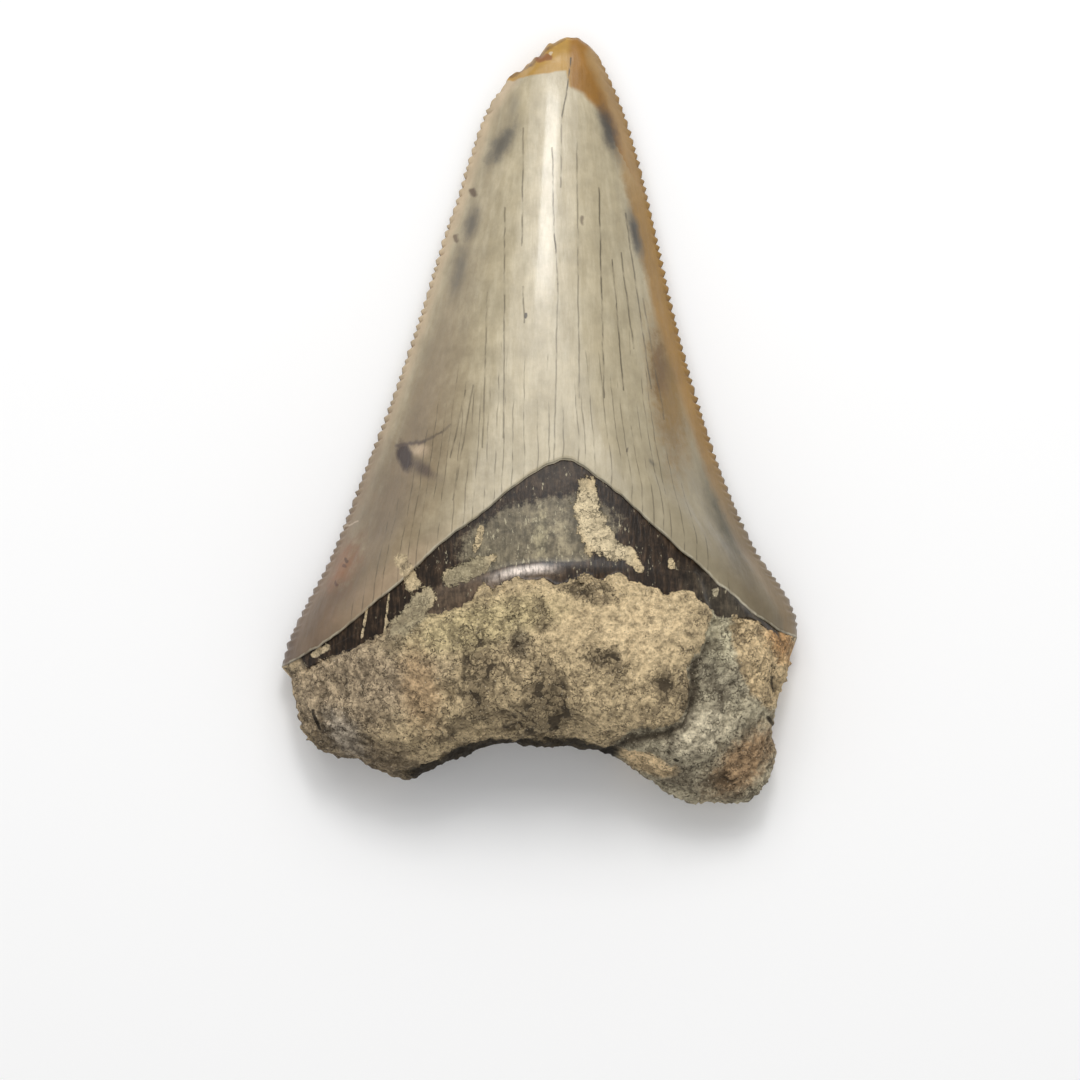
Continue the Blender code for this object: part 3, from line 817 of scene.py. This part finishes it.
enamelLook = {
    "cream": (0.425, 0.36, 0.235),
    "paleCream": (0.525, 0.455, 0.312),
    # the flanks' colours hold painted shade as well as their tone
    "flankBrownAndShade": (0.215, 0.155, 0.088),
    "flankGreyAndShade": (0.25, 0.21, 0.135),
    "leftMargin": (0.57, 0.44, 0.29),
    "leftMarginLow": (0.23, 0.16, 0.102),
    "shoulderTip": (0.10, 0.055, 0.027),
    "rightOrange": (0.295, 0.16, 0.035),
    "rightSand": (0.36, 0.25, 0.12),
    "rightMarginLow": (0.195, 0.135, 0.068),
    "tipYellow": (0.42, 0.24, 0.05),
    "tipOrange": (0.29, 0.135, 0.02),
    "notchBrown": (0.19, 0.095, 0.035),
    # the painted highlight along the enamel's raised lip, and the painted shadow under it
    "lip": (0.50, 0.45, 0.33),
    "lipShade": (0.09, 0.075, 0.05),
    "crack": (0.075, 0.062, 0.04),
    "roughness": 0.3,
    "edgeRoughness": 0.5,
    "crumbRoughness": 0.85,
    "specular": 0.32,
    "coat": 0.5,
    "flankCoat": 0.12,
    "coatRoughness": 0.13,
    "rippleHeight": 0.06,
    "grainHeight": 0.007,
    "crackFan": 17.5,
    "crackSpacing": 0.95,
    "crackWidth": 0.15,
    "fineCrackDarkness": 0.6,
    # noises: scale, detail and roughness
    "ragged": (0.8, 5.0, 0.65),
    "streaks": (0.9, 5.0, 0.6),
    "mottle": (0.33, 5.0, 0.65),
    "wear": (0.5, 4.0, 0.6),
    # ranges: from, to and, where they aren't 0 and 1, the amounts there
    "lowPart": (14.0, -14.0),
    "rightSide": (3.0, 5.0),
    "leftFlank": (-0.02, 0.12),
    "leftFlankEnd": (14.0, -4.0, 0.38, 0.47),
    "leftFlankFade": (26.0, -4.0, 0.3, 0.95),
    "rightFlank": (0.52, 0.85),
    "rightFlankFade": (0.0, 1.0, 0.25, 0.85),
    "orangeEnd": (0.0, -12.0),
    "orangeWidening": (4.0, 12.0, 0.0, -0.5),
    "orangeMargin": (2.0, 1.1, 0.0, 0.92),
    "sandStart": (21.0, 30.0),
    "leftMarginFade": (1.5, 0.4, 0.0, 0.8),
    "shoulderStart": (-18.0, -25.0),
    "tipRidge": (2.7, 3.6),
    "tipMargin": (1.9, 0.9, 0.0, 0.6),
    "tipSoftness": (2.5, 4.5, 0.1, 0.5),
    "notch": (0.0, -0.5, 0.0, 0.6),
    "crackCover": (16.0, -3.0, 0.3, 0.62),
}
# Start, end, radius, softness, strength, colour and fraying
enamelStains = {
    "shoulderLeft": ((-27.6, -27.4), (-20.5, -16.0), 5.4, 0.7, 0.9, (0.125, 0.075, 0.042), 0.3),
    "greyLeft": ((-21.0, -16.0), (-15.2, -3.2), 4.6, 1.0, 0.6, (0.17, 0.125, 0.085), 0.3),
    "rustLeft": ((-21.6, -16.6), (-19.7, -13.6), 2.6, 0.9, 0.7, (0.25, 0.11, 0.05), 0.4),
    "ridgeLeft": ((-23.6, -23.6), (-8.5, -11.0), 2.3, 1.0, 0.6, (0.40, 0.29, 0.19), 0.15),
    "shoulderRight": ((27.6, -24.4), (19.8, -12.0), 5.0, 0.8, 0.8, (0.13, 0.098, 0.056), 0.25),
    "greenishRight": ((17.3, -4.6), (21.6, -16.0), 2.2, 1.0, 0.9, (0.065, 0.058, 0.034), 0.35),
    "yellowRight": ((12.3, 12.5), (14.6, -6.0), 3.0, 0.8, 0.92, (0.20, 0.112, 0.022), 0.4),
    "mottleRight": ((12.3, 8.6), (12.9, 2.0), 1.3, 0.9, 0.6, (0.12, 0.062, 0.022), 0.9),
    "smudgeLeftTop": ((-2.3, 34.0), (-2.9, 31.6), 1.0, 1.0, 0.4, (0.11, 0.105, 0.095), 0.4),
    "smudgeLeft": ((-2.5, 31.0), (-5.3, 26.6), 1.6, 0.9, 0.8, (0.075, 0.072, 0.066), 0.5),
    "smudgeLeftLow": ((-6.6, 22.2), (-7.5, 18.8), 1.3, 1.0, 0.75, (0.085, 0.077, 0.068), 0.5),
    "smudgeLeftLower": ((-7.7, 18.6), (-9.0, 12.6), 1.3, 1.0, 0.65, (0.10, 0.09, 0.075), 0.5),
}
# the same, on the lingual face alone
lingualStains = {
    "markTail": ((-13.8, -4.2), (-10.3, -6.4), 1.1, 0.9, 0.85, (0.085, 0.06, 0.05), 0.5),
    "markPale": ((-13.1, -3.2), (-11.7, -3.4), 0.95, 0.9, 0.85, (0.52, 0.39, 0.26), 0.2),
    "markBlob": ((-14.4, -2.9), (-13.6, -5.0), 1.05, 0.5, 0.95, (0.04, 0.024, 0.02), 0.35),
}
# the same, over the orange margin
marginStains = {
    "smudgeRight": ((6.2, 33.8), (8.4, 26.8), 1.3, 0.9, 0.95, (0.07, 0.063, 0.055), 0.4),
    "smudgeRightLow": ((9.2, 22.8), (10.9, 16.0), 0.95, 0.9, 0.95, (0.06, 0.055, 0.047), 0.4),
}
# Start, end, width, softness, strength and colour
enamelMarks = {
    "rimLow": ((-3.0, 36.1), (-0.9, 37.3), 0.28, 0.8, 0.6, (0.15, 0.08, 0.035)),
    "rimMiddle": ((-0.9, 37.3), (0.8, 39.0), 0.28, 0.8, 0.6, (0.15, 0.08, 0.035)),
    "rimHigh": ((0.8, 39.0), (2.6, 40.0), 0.25, 0.8, 0.5, (0.17, 0.09, 0.035)),
    "chip": ((0.0, 37.8), (0.9, 38.1), 0.5, 0.6, 0.8, (0.22, 0.08, 0.035)),
    "chipPale": ((1.1, 38.5), (1.2, 38.6), 0.2, 0.5, 0.8, (0.6, 0.5, 0.36)),
    "edgeSpotUpper": ((-7.1, 24.1), (-6.8, 23.7), 0.45, 0.7, 0.85, (0.10, 0.06, 0.035)),
    "edgeSpotLower": ((-8.8, 19.3), (-8.7, 18.9), 0.4, 0.7, 0.75, (0.12, 0.075, 0.045)),
    "rustDot": ((-20.2, -14.6), (-20.1, -14.8), 0.26, 0.6, 0.8, (0.07, 0.035, 0.02)),
    "rustDotUpper": ((-20.4, -15.2), (-20.3, -15.3), 0.26, 0.6, 0.7, (0.09, 0.04, 0.025)),
    "rustDotLow": ((-21.2, -17.0), (-21.1, -17.2), 0.24, 0.6, 0.8, (0.09, 0.04, 0.025)),
    "scratch": ((-20.6, -11.2), (-19.1, -10.6), 0.14, 0.7, 0.8, (0.48, 0.38, 0.28)),
    "markUpper": ((-14.8, -2.7), (-12.0, -2.3), 0.34, 1.0, 0.85, (0.09, 0.06, 0.045)),
    "markUpperEnd": ((-12.0, -2.3), (-10.2, -1.4), 0.26, 1.0, 0.7, (0.10, 0.075, 0.055)),
    "markUpperTip": ((-10.2, -1.4), (-9.3, -0.6), 0.2, 1.0, 0.45, (0.11, 0.085, 0.065)),
    "dotUpper": ((-1.5, 10.8), (-1.5, 10.6), 0.24, 0.6, 0.9, (0.045, 0.035, 0.025)),
    "dotRight": ((4.4, 21.0), (4.5, 20.5), 0.32, 0.9, 0.7, (0.12, 0.085, 0.055)),
    "dotLow": ((9.1, -3.1), (9.1, -3.3), 0.2, 0.7, 0.7, (0.09, 0.075, 0.06)),
    "dotLowRight": ((11.5, -4.4), (11.8, -4.7), 0.4, 1.0, 0.6, (0.11, 0.10, 0.08)),
    "apexPale": ((0.6, -5.1), (2.3, -4.5), 0.24, 0.7, 0.85, (0.62, 0.56, 0.44)),
}
# Start, end and darkness of the long hairline cracks
enamelCracks = {
    "ridge": ((3.3, 38.0), (2.9, 34.6), 1.0),
    "ridgeLow": ((2.9, 34.6), (2.3, 31.5), 0.85),
    "ridgeEnd": ((2.3, 31.5), (2.2, 24.2), 0.6),
    "innerLeft": ((-1.7, 30.5), (-1.8, 18.0), 0.7),
    "innerLeftLow": ((-1.7, 13.7), (-1.6, 10.0), 0.7),
    "left": ((-3.6, 22.1), (-3.7, -2.0), 0.65),
    "farLeft": ((-5.4, 13.2), (-5.9, -3.0), 0.6),
    "middleTop": ((1.3, 28.4), (1.5, 20.0), 0.7),
    "middle": ((1.5, 20.0), (1.9, 14.0), 0.95),
    "middleLow": ((1.9, 14.0), (1.5, -4.3), 0.6),
    "rightInner": ((3.9, 28.9), (4.1, 2.2), 0.6),
    "right": ((6.2, 24.2), (6.7, 2.2), 0.85),
    "rightOuter": ((7.6, 16.6), (8.7, 3.0), 0.85),
    "rightFourth": ((8.5, 17.4), (9.8, 7.4), 0.7),
    "rightFifth": ((9.0, 21.6), (11.6, 3.2), 0.7),
    "farRight": ((10.8, 12.7), (13.0, 0.0), 0.6),
    "lowLeft": ((-6.9, 3.5), (-8.9, -8.4), 0.6),
    "lowLeftOuter": ((-7.7, 3.0), (-9.2, -4.0), 0.7),
}


def paintFlanks(colour, across, y, low):
    # brown on the left flank and grey on the right: partly the enamel's tone, partly painted shade where the
    # flanks slope away from the light
    look = enamelLook
    leftFlank = bell(across, *look["leftFlank"], between(y, *look["leftFlankEnd"]))
    colour = blend(times(leftFlank, between(y, *look["leftFlankFade"])), colour, look["flankBrownAndShade"])
    rightFlank = times(between(across, *look["rightFlank"]), between(low, *look["rightFlankFade"]))
    return blend(rightFlank, colour, look["flankGreyAndShade"])


def paintMargins(colour, y, low, margin, onRight):
    # orange and sand along the right edge, paler along the left one
    look = enamelLook
    tint = blend(between(y, *look["orangeEnd"]), look["rightOrange"], look["rightMarginLow"])
    tint = blend(between(y, *look["sandStart"]), tint, look["rightSand"])
    rightMargin = plus(margin, between(y, *look["orangeWidening"]))
    colour = blend(times(between(rightMargin, *look["orangeMargin"]), onRight), colour, tint)
    tint = blend(low, look["leftMargin"], look["leftMarginLow"])
    tint = blend(between(y, *look["shoulderStart"]), tint, look["shoulderTip"])
    return blend(times(between(margin, *look["leftMarginFade"]), minus(1.0, onRight)), colour, tint)


def paintTip(colour, x, margin, onRight, onTip):
    look = enamelLook
    tint = blend(between(x, *look["tipRidge"]), look["tipYellow"], look["tipOrange"])
    tint = blend(times(between(margin, *look["tipMargin"]), onRight), tint, look["rightSand"])
    return blend(onTip, colour, tint)


def paintLip(colour, streaks, ragged):
    # a pale line along the enamel's lower edge, a painted highlight on its raised lip, with a thin painted
    # shadow under it
    lipEdge = frayed(ragged, "enamelGap", 0.16)
    patchy = between(streaks, 0.4, 0.6, 0.25, 0.75)
    colour = blend(times(between(lipEdge, 0.3, 0.15), patchy), colour, enamelLook["lip"])
    return blend(between(lipEdge, 0.12, 0.0, 0.0, 0.65), colour, enamelLook["lipShade"])


def enamelCrackMask(tree, place, x, y, gap, grain):
    # fine cracks fan out from the tip, because their places mix x with the share across the tooth
    look = enamelLook
    spread = times(minus(mark(tree, "across"), 0.5), look["crackFan"])
    fan = plus(times(x, 0.5), spread, times(signedCloud(place, 0.35), 0.18))
    cover = times(between(y, *look["crackCover"]), between(gap, 2.5, 5.0))
    lineInputs = {"Fan": fan, "Place": place, "Spacing": look["crackSpacing"], "Width": 0.1, "Cover": cover}
    fineCracks = times(useGroup(fineLinesGroup, lineInputs)["Mask"], look["fineCrackDarkness"])
    straight = wobbled(place, 0.45, 0.13)
    cracks = highest(fineCracks, *crackMasks(straight, enamelCracks, look["crackWidth"], 1.0))
    return times(cracks, between(cloud(grain, 2.5, 3.0), 0.34, 0.56, 0.2, 1.0), mark(tree, "lingual"))


def makeEnamel():
    look = enamelLook
    material, tree, surface = newMaterial("glossEnamel")
    place, x, y = toothPlace(tree)
    gap = mark(tree, "edgeGap")
    ragged = signedCloud(place, *look["ragged"])
    across = frayed(ragged, "across", 0.05)
    margin = plus(gap, times(ragged, 0.5))
    low, onRight = between(y, *look["lowPart"]), between(x, *look["rightSide"])
    onTip = between(frayed(ragged, "tipEdge", 0.25), -0.15, between(x, *look["tipSoftness"]), 0.0, 0.95)

    grain = stretched(place, (1.0, 0.10, 1.0))
    streaks = cloud(grain, *look["streaks"])
    colour = blend(between(streaks, 0.35, 0.7), look["cream"], look["paleCream"])
    colour = paintFlanks(colour, across, y, low)
    colour = paintStains(colour, enamelStains | lingualStains, ragged)
    colour = paintMargins(colour, y, low, margin, onRight)
    colour = paintTip(colour, x, margin, onRight, onTip)
    colour = paintStains(colour, marginStains, ragged)
    mottle = between(cloud(place, *look["mottle"]), 0.3, 0.7, 0.9, 1.1)
    colour = blend(1.0, colour, times(mottle, between(ragged, -0.4, 0.4, 0.95, 1.05)), "MULTIPLY")
    notch = times(between(mark(tree, "serration"), *look["notch"]), between(ragged, -0.5, 0.3, 0.3, 1.0))
    colour = blend(notch, colour, look["notchBrown"])
    colour = paintMarks(colour, enamelMarks, wobbled(place, 1.1, 0.3), mark(tree, "lingual"))
    cracks = enamelCrackMask(tree, place, x, y, gap, grain)
    colour = paintLip(blend(cracks, colour, look["crack"]), streaks, ragged)
    covered = crumbMask(place)
    colour = blend(covered, colour, useGroup(sandyCrustGroup, {"Place": place, "Veins": 0.25})["Color"])

    roughness = blendValue(cloud(place, *look["wear"]), look["roughness"] - 0.06, look["roughness"] + 0.12)
    roughness = blendValue(between(gap, 1.4, 0.3), roughness, look["edgeRoughness"])
    bare = minus(1.0, highest(covered, cracks))
    offMiddle = calculate("ABSOLUTE", minus(across, 0.5))
    coat = between(plus(offMiddle, onTip), 0.15, 0.36, look["coat"], look["flankCoat"])
    ripple = cloud(stretched(place, (1.5, 0.2, 1.0)), 1.0, 3.0)
    height = plus(times(ripple, look["rippleHeight"]), times(cloud(place, 4.0, 3.0), look["grainHeight"]))
    finishSurface(surface, height, {
        "Base Color": colour,
        "Roughness": blendValue(covered, roughness, look["crumbRoughness"]),
        "Coat Weight": times(bare, coat),
        "Coat Roughness": look["coatRoughness"],
        "Specular IOR Level": look["specular"],
    })
    return material


rootLook = {
    "bandDark": (0.020, 0.011, 0.005),
    "bandBrown": (0.060, 0.037, 0.021),
    "tan": (0.64, 0.495, 0.29),
    "lobeGrey": (0.57, 0.50, 0.345),
    "fleck": (0.50, 0.44, 0.29),
    "crumb": (0.66, 0.55, 0.35),
    # the painted highlight on the neck ledge's crest
    "paintedLedgeHighlight": (0.90, 0.78, 0.68),
    "shade": (0.05, 0.037, 0.024),
    # near black: the crust's dark cracks, and the painted shade under the arch
    "crackDarkAndUndersideShade": (0.018, 0.014, 0.01),
    "glint": (0.85, 0.74, 0.56),
    "bandRoughness": 0.34,
    "bandCoat": 0.1,
    "ledgeCoat": 0.9,
    "coatRoughness": 0.18,
    "crustRoughness": 0.9,
    "specular": 0.22,
    "archShade": 0.93,
    "striaeHeight": 0.06,
    "sandHeight": 0.22,
    "crustLift": 0.08,
    # noises: scale, detail and roughness
    "ragged": (1.1, 6.0, 0.7),
    "striae": (1.0, 5.0, 0.65),
    "fleckNoise": (1.0, 5.0, 0.72),
    # ranges: from, to and the amounts there, or from, peak and to
    "flecks": (0.6, 0.65, 0.0, 0.75),
    "ledgeLight": (-1.3, -0.6, 0.1),
    "ledgeLightAcross": (-6.5, -1.3, 3.0),
    "groove": (-2.0, -0.7, 0.1),
    "grooveFade": (-21.5, -26.0, 0.35, 0.9),
    "archLeft": (-15.5, -12.5),
    "archRight": (9.2, 7.4),
    "archReach": (1.25, 0.75),
    "sideCover": (0.462, 0.474),
}
veinShare = 0.4
# Where the crust has more or fewer veins and dark grains: start, end, radius and how many more
veinPlaces = {
    "middle": ((2.0, -20.5), (15.0, -22.0), 7.0, -0.5),
    "pinkTan": ((-12.5, -25.0), (-11.7, -30.0), 3.0, -0.3),
    "left": ((-25.0, -30.5), (-13.0, -24.5), 7.5, 0.15),
    "lowLeft": ((-24.0, -35.0), (-8.0, -33.0), 5.0, 0.15),
    "rightLobe": ((16.5, -23.0), (18.0, -29.0), 4.0, 0.1),
    "lump": ((15.0, -33.0), (18.0, -31.0), 3.0, -0.3),
    "spotLeft": ((-7.2, -22.6), (-4.8, -26.6), 2.6, 0.6),
    "spotMiddle": ((-2.3, -22.4), (-1.7, -24.4), 1.9, 0.45),
    "spotLow": ((-6.3, -28.0), (-6.1, -30.4), 1.6, 0.9),
    "patchUpper": ((0.7, -25.8), (1.6, -29.2), 2.6, 0.75),
    "patchLow": ((-3.0, -31.4), (3.6, -30.0), 2.8, 0.9),
    "spotRight": ((5.8, -24.4), (7.8, -25.5), 1.9, 1.1),
    "spotUpper": ((0.0, -19.2), (0.2, -21.6), 1.4, 0.9),
    "greyUpper": ((3.0, -17.4), (8.0, -18.6), 2.0, 0.8),
    "sheetEnd": ((12.6, -26.0), (15.0, -30.0), 2.2, 0.6),
}
bandStains = {
    "bandTop": ((-0.6, -5.8), (3.4, -5.8), 3.0, 0.9, 0.6, (0.065, 0.046, 0.03), 0.4),
    "lowBand": ((-13.0, -20.0), (1.0, -16.0), 2.2, 0.3, 0.85, (0.105, 0.072, 0.046), 0.25),
    "rightLow": ((15.5, -16.2), (23.0, -22.5), 3.0, 0.9, 0.6, (0.07, 0.06, 0.042), 0.4),
}
patinaStains = {
    "patina": ((-4.6, -13.6), (4.6, -11.2), 4.2, 0.2, 0.85, (0.185, 0.155, 0.10), 0.35),
    "patinaPale": ((0.2, -9.6), (0.1, -14.6), 1.3, 0.9, 0.7, (0.36, 0.31, 0.19), 0.6),
    "patinaStreak": ((2.3, -9.6), (2.6, -14.4), 1.2, 0.9, 0.6, (0.34, 0.285, 0.18), 0.6),
    "patinaLeft": ((-7.4, -13.0), (-3.6, -14.8), 1.7, 0.8, 0.5, (0.16, 0.135, 0.085), 0.8),
}
crustStains = {
    "leftGrey": ((-26.0, -30.5), (-13.0, -25.0), 7.5, 0.7, 0.9, (0.60, 0.465, 0.305), 0.25),
    "yellowish": ((-15.0, -23.6), (2.0, -19.4), 3.4, 0.7, 0.75, (0.70, 0.575, 0.31), 0.4),
    "pinkTan": ((-12.8, -24.6), (-11.6, -31.4), 3.0, 0.7, 0.8, (0.52, 0.355, 0.195), 0.4),
    "leftLobeDark": ((-24.0, -34.1), (-12.6, -36.6), 3.8, 0.8, 0.8, (0.25, 0.19, 0.125), 0.5),
    "leftLump": ((-21.8, -31.0), (-18.9, -34.2), 2.2, 0.7, 0.85, (0.54, 0.46, 0.355), 0.5),
    "sandRight": ((6.5, -22.6), (15.3, -21.5), 4.4, 0.9, 0.8, (0.75, 0.58, 0.345), 0.3),
    "flakeTan": ((4.8, -8.6), (8.2, -14.2), 2.6, 0.4, 0.9, (0.80, 0.66, 0.43), 0.1),
    "sageSmear": ((-9.2, -16.9), (-5.6, -14.9), 1.6, 0.5, 0.8, (0.25, 0.23, 0.15), 0.3),
    "sageTongue": ((-14.8, -22.0), (-11.4, -18.4), 1.8, 0.5, 0.7, (0.30, 0.27, 0.18), 0.3),
    "spotGrey": ((-2.2, -22.4), (-1.8, -24.2), 1.6, 0.8, 0.5, (0.24, 0.205, 0.15), 0.5),
}
lobeStains = {
    "lobeGreen": ((18.6, -20.4), (18.8, -24.0), 2.8, 0.5, 0.7, (0.74, 0.67, 0.45), 0.5),
    "lobeDark": ((16.6, -24.6), (19.8, -28.0), 2.6, 0.8, 0.35, (0.22, 0.20, 0.15), 0.8),
    "greyPale": ((14.6, -33.4), (18.6, -31.6), 3.4, 0.8, 0.75, (0.80, 0.70, 0.50), 0.5),
    "rustZone": ((22.6, -20.2), (24.2, -27.4), 3.6, 0.2, 0.9, (0.75, 0.56, 0.315), 0.25),
    "rustEdge": ((24.4, -21.0), (26.2, -25.0), 2.0, 0.8, 0.8, (0.64, 0.34, 0.135), 0.5),
    "rustLow": ((18.4, -38.8), (24.2, -33.0), 3.2, 0.7, 0.85, (0.40, 0.245, 0.125), 0.5),
    "lobeFoot": ((9.6, -35.4), (17.6, -38.6), 1.9, 0.8, 0.6, (0.18, 0.14, 0.095), 0.6),
    "footLedge": ((8.4, -34.8), (14.0, -36.8), 1.0, 0.3, 0.95, (0.82, 0.61, 0.35), 0.3),
}
# Start, end and darkness
crustCracks = {
    "leftLobe": ((-23.6, -30.2), (-22.9, -32.2), 0.9),
    "leftMiddle": ((-7.8, -25.2), (-7.8, -27.8), 0.5),
    "rightUpper": ((24.1, -26.8), (24.3, -28.2), 0.8),
    "rightLower": ((23.8, -31.0), (24.5, -32.1), 0.8),
    "hole": ((14.1, -35.3), (14.3, -35.4), 0.9),
}


def makeRoot():
    look = rootLook
    material, tree, surface = newMaterial("crustedRoot")
    place, x, y = toothPlace(tree)
    fine = wobbled(place, 1.2, 0.3)
    ragged = signedCloud(place, *look["ragged"])

    striae = cloud(stretched(place, (3.0, 0.5, 1.0)), *look["striae"])
    band = blend(between(striae, 0.42, 0.72), look["bandDark"], look["bandBrown"])
    band = paintStains(band, bandStains, ragged)
    ledge = frayed(ragged, "ledge", 0.15)
    band = blend(between(ledge, 0.0, 0.3), band, paintStains(band, patinaStains, ragged))
    # painted highlight: a pale streaky patch on the ledge's crest where the lamp reflects, over a glossier
    # coat there
    onLedge = times(bell(ledge, *look["ledgeLight"]), bell(x, *look["ledgeLightAcross"]))
    band = blend(times(onLedge, between(striae, 0.3, 0.5)), band, look["paintedLedgeHighlight"])
    uneven = times(between(ragged, -0.35, 0.35, 0.45, 1.5), between(striae, 0.3, 0.65, 0.7, 1.2))
    band = blend(0.85, band, uneven, "MULTIPLY")
    flecks = cloud(stretched(place, (2.2, 0.8, 1.0)), *look["fleckNoise"])
    flecks = plus(flecks, times(mark(tree, "patina"), 0.035))
    band = blend(between(flecks, *look["flecks"]), band, look["fleck"])

    crust = paintStains(look["tan"], crustStains, ragged)
    sheet = frayed(ragged, "sheet", 0.7)
    crust = blend(between(sheet, 0.0, -0.25), crust, paintStains(look["lobeGrey"], lobeStains, ragged))
    groove = times(bell(sheet, *look["groove"]), between(y, *look["grooveFade"]))
    crust = blend(groove, crust, look["shade"])
    sand = useGroup(sandyCrustGroup, {"Place": place, "Relief": mark(tree, "relief"), "Tan": crust,
                                      "Shade": (*look["shade"], 1.0), "Glint": (*look["glint"], 1.0),
                                      "Veins": mark(tree, "veins")})
    cracks = highest(*crackMasks(fine, crustCracks, 0.24, 0.6))
    crust = blend(times(cracks, mark(tree, "lingual")), sand["Color"], look["crackDarkAndUndersideShade"])
    # painted shade: the steep underside along the arch between the lobes, darkened almost to black
    arch = times(between(x, *look["archLeft"]), between(x, *look["archRight"]))
    arch = times(arch, between(frayed(ragged, "baseGap", 0.6), *look["archReach"]))
    crust = blend(times(arch, look["archShade"]), crust, look["crackDarkAndUndersideShade"])

    edge = between(frayed(signedCloud(place, 2.4, 4.0, 0.65), "crust", 0.35), -0.2, -0.08)
    crumb = crumbMask(place)
    crust = blend(times(crumb, 0.3), crust, look["crumb"])
    side = calculate("ABSOLUTE", minus(mark(tree, "across"), 0.5))
    covered = highest(edge, crumb, between(side, *look["sideCover"]))
    height = plus(times(sand["Height"], look["sandHeight"]), look["crustLift"])
    finishSurface(surface, blendValue(covered, times(striae, look["striaeHeight"]), height), {
        "Base Color": blend(covered, band, crust),
        "Roughness": blendValue(covered, look["bandRoughness"], look["crustRoughness"]),
        "Coat Weight": times(minus(1.0, covered), blendValue(onLedge, look["bandCoat"], look["ledgeCoat"])),
        "Coat Roughness": look["coatRoughness"],
        "Specular IOR Level": look["specular"],
    })
    return material


studio = {
    "floorSize": 3.0,
    "floorColour": (0.98, 0.98, 0.98),
    "floorRoughness": 0.9,
    "imageWidth": 0.1134,  # what the picture shows at the height of the cutting edges, in metres
    "aim": (0.00005, -0.01255),
    "lens": 200.0,
    "sensor": 36.0,
    "edgeHeight": 0.003,
    "skyTop": 0.62,
    "skyEdge": 0.40,
    "lightAngle": 35.0,  # from straight above, towards the tip
    "strip": (0.5, 0.022, 0.095, 0.13, 0.54),  # distance, sideways shift, width, length and power
    "softbox": (0.56, 0.0, 0.55, 0.3, 1.3),
}


def addSoftbox(name, distance, aside, width, length, power):
    light = bpy.data.lights.new(name, "AREA")
    light.shape = "RECTANGLE"
    light.size, light.size_y = width, length
    light.energy = power
    lamp = bpy.data.objects.new(name, light)
    angle = math.radians(studio["lightAngle"])
    lamp.location = (aside, distance * math.sin(angle), distance * math.cos(angle))
    lamp.rotation_euler = (-angle, 0, 0)
    scene.collection.objects.link(lamp)


def makeStudio():
    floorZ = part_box("tooth")[0].z
    bpy.ops.mesh.primitive_plane_add(size=studio["floorSize"], location=(0, 0, floorZ))
    floor = bpy.context.object
    floor.name = "floor"
    material, _, surface = newMaterial("paleFloor")
    connect(surface, {"Base Color": (*studio["floorColour"], 1.0), "Roughness": studio["floorRoughness"]})
    floor.data.materials.append(material)

    world = bpy.data.worlds.new("softSky")
    world.use_nodes = True
    scene.world = world
    tree = world.node_tree
    direction = addNode(tree, "ShaderNodeTexCoord").outputs["Generated"]
    rise = addNode(tree, "ShaderNodeSeparateXYZ", {0: direction}).outputs[2]
    strength = between(rise, 0.0, 0.9, studio["skyEdge"], studio["skyTop"])
    connect(tree.nodes["Background"], {"Strength": strength, "Color": (1, 1, 1, 1)})
    addSoftbox("strip", *studio["strip"])
    addSoftbox("softbox", *studio["softbox"])
    print("studio made")


def makeCamera():
    view = bpy.data.cameras.new("photoCamera")
    view.lens = studio["lens"]
    view.sensor_width = studio["sensor"]
    view.clip_start, view.clip_end = 0.05, 20.0
    camera = bpy.data.objects.new("photoCamera", view)
    distance = studio["imageWidth"] * studio["lens"] / studio["sensor"]
    camera.location = (*studio["aim"], studio["edgeHeight"] + distance)
    scene.collection.objects.link(camera)
    scene.camera = camera
    scene.view_settings.view_transform = "Standard"
    print("camera made")


strokeGroup = makeStrokeGroup()
fineLinesGroup = makeFineLinesGroup()
sandyCrustGroup = makeSandyCrustGroup()
toothMaterials = [makeEnamel(), makeRoot()]
print("materials made")
tooth = makeTooth(toothMaterials)
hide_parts("tooth")
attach(tooth, "root")
makeStudio()
makeCamera()
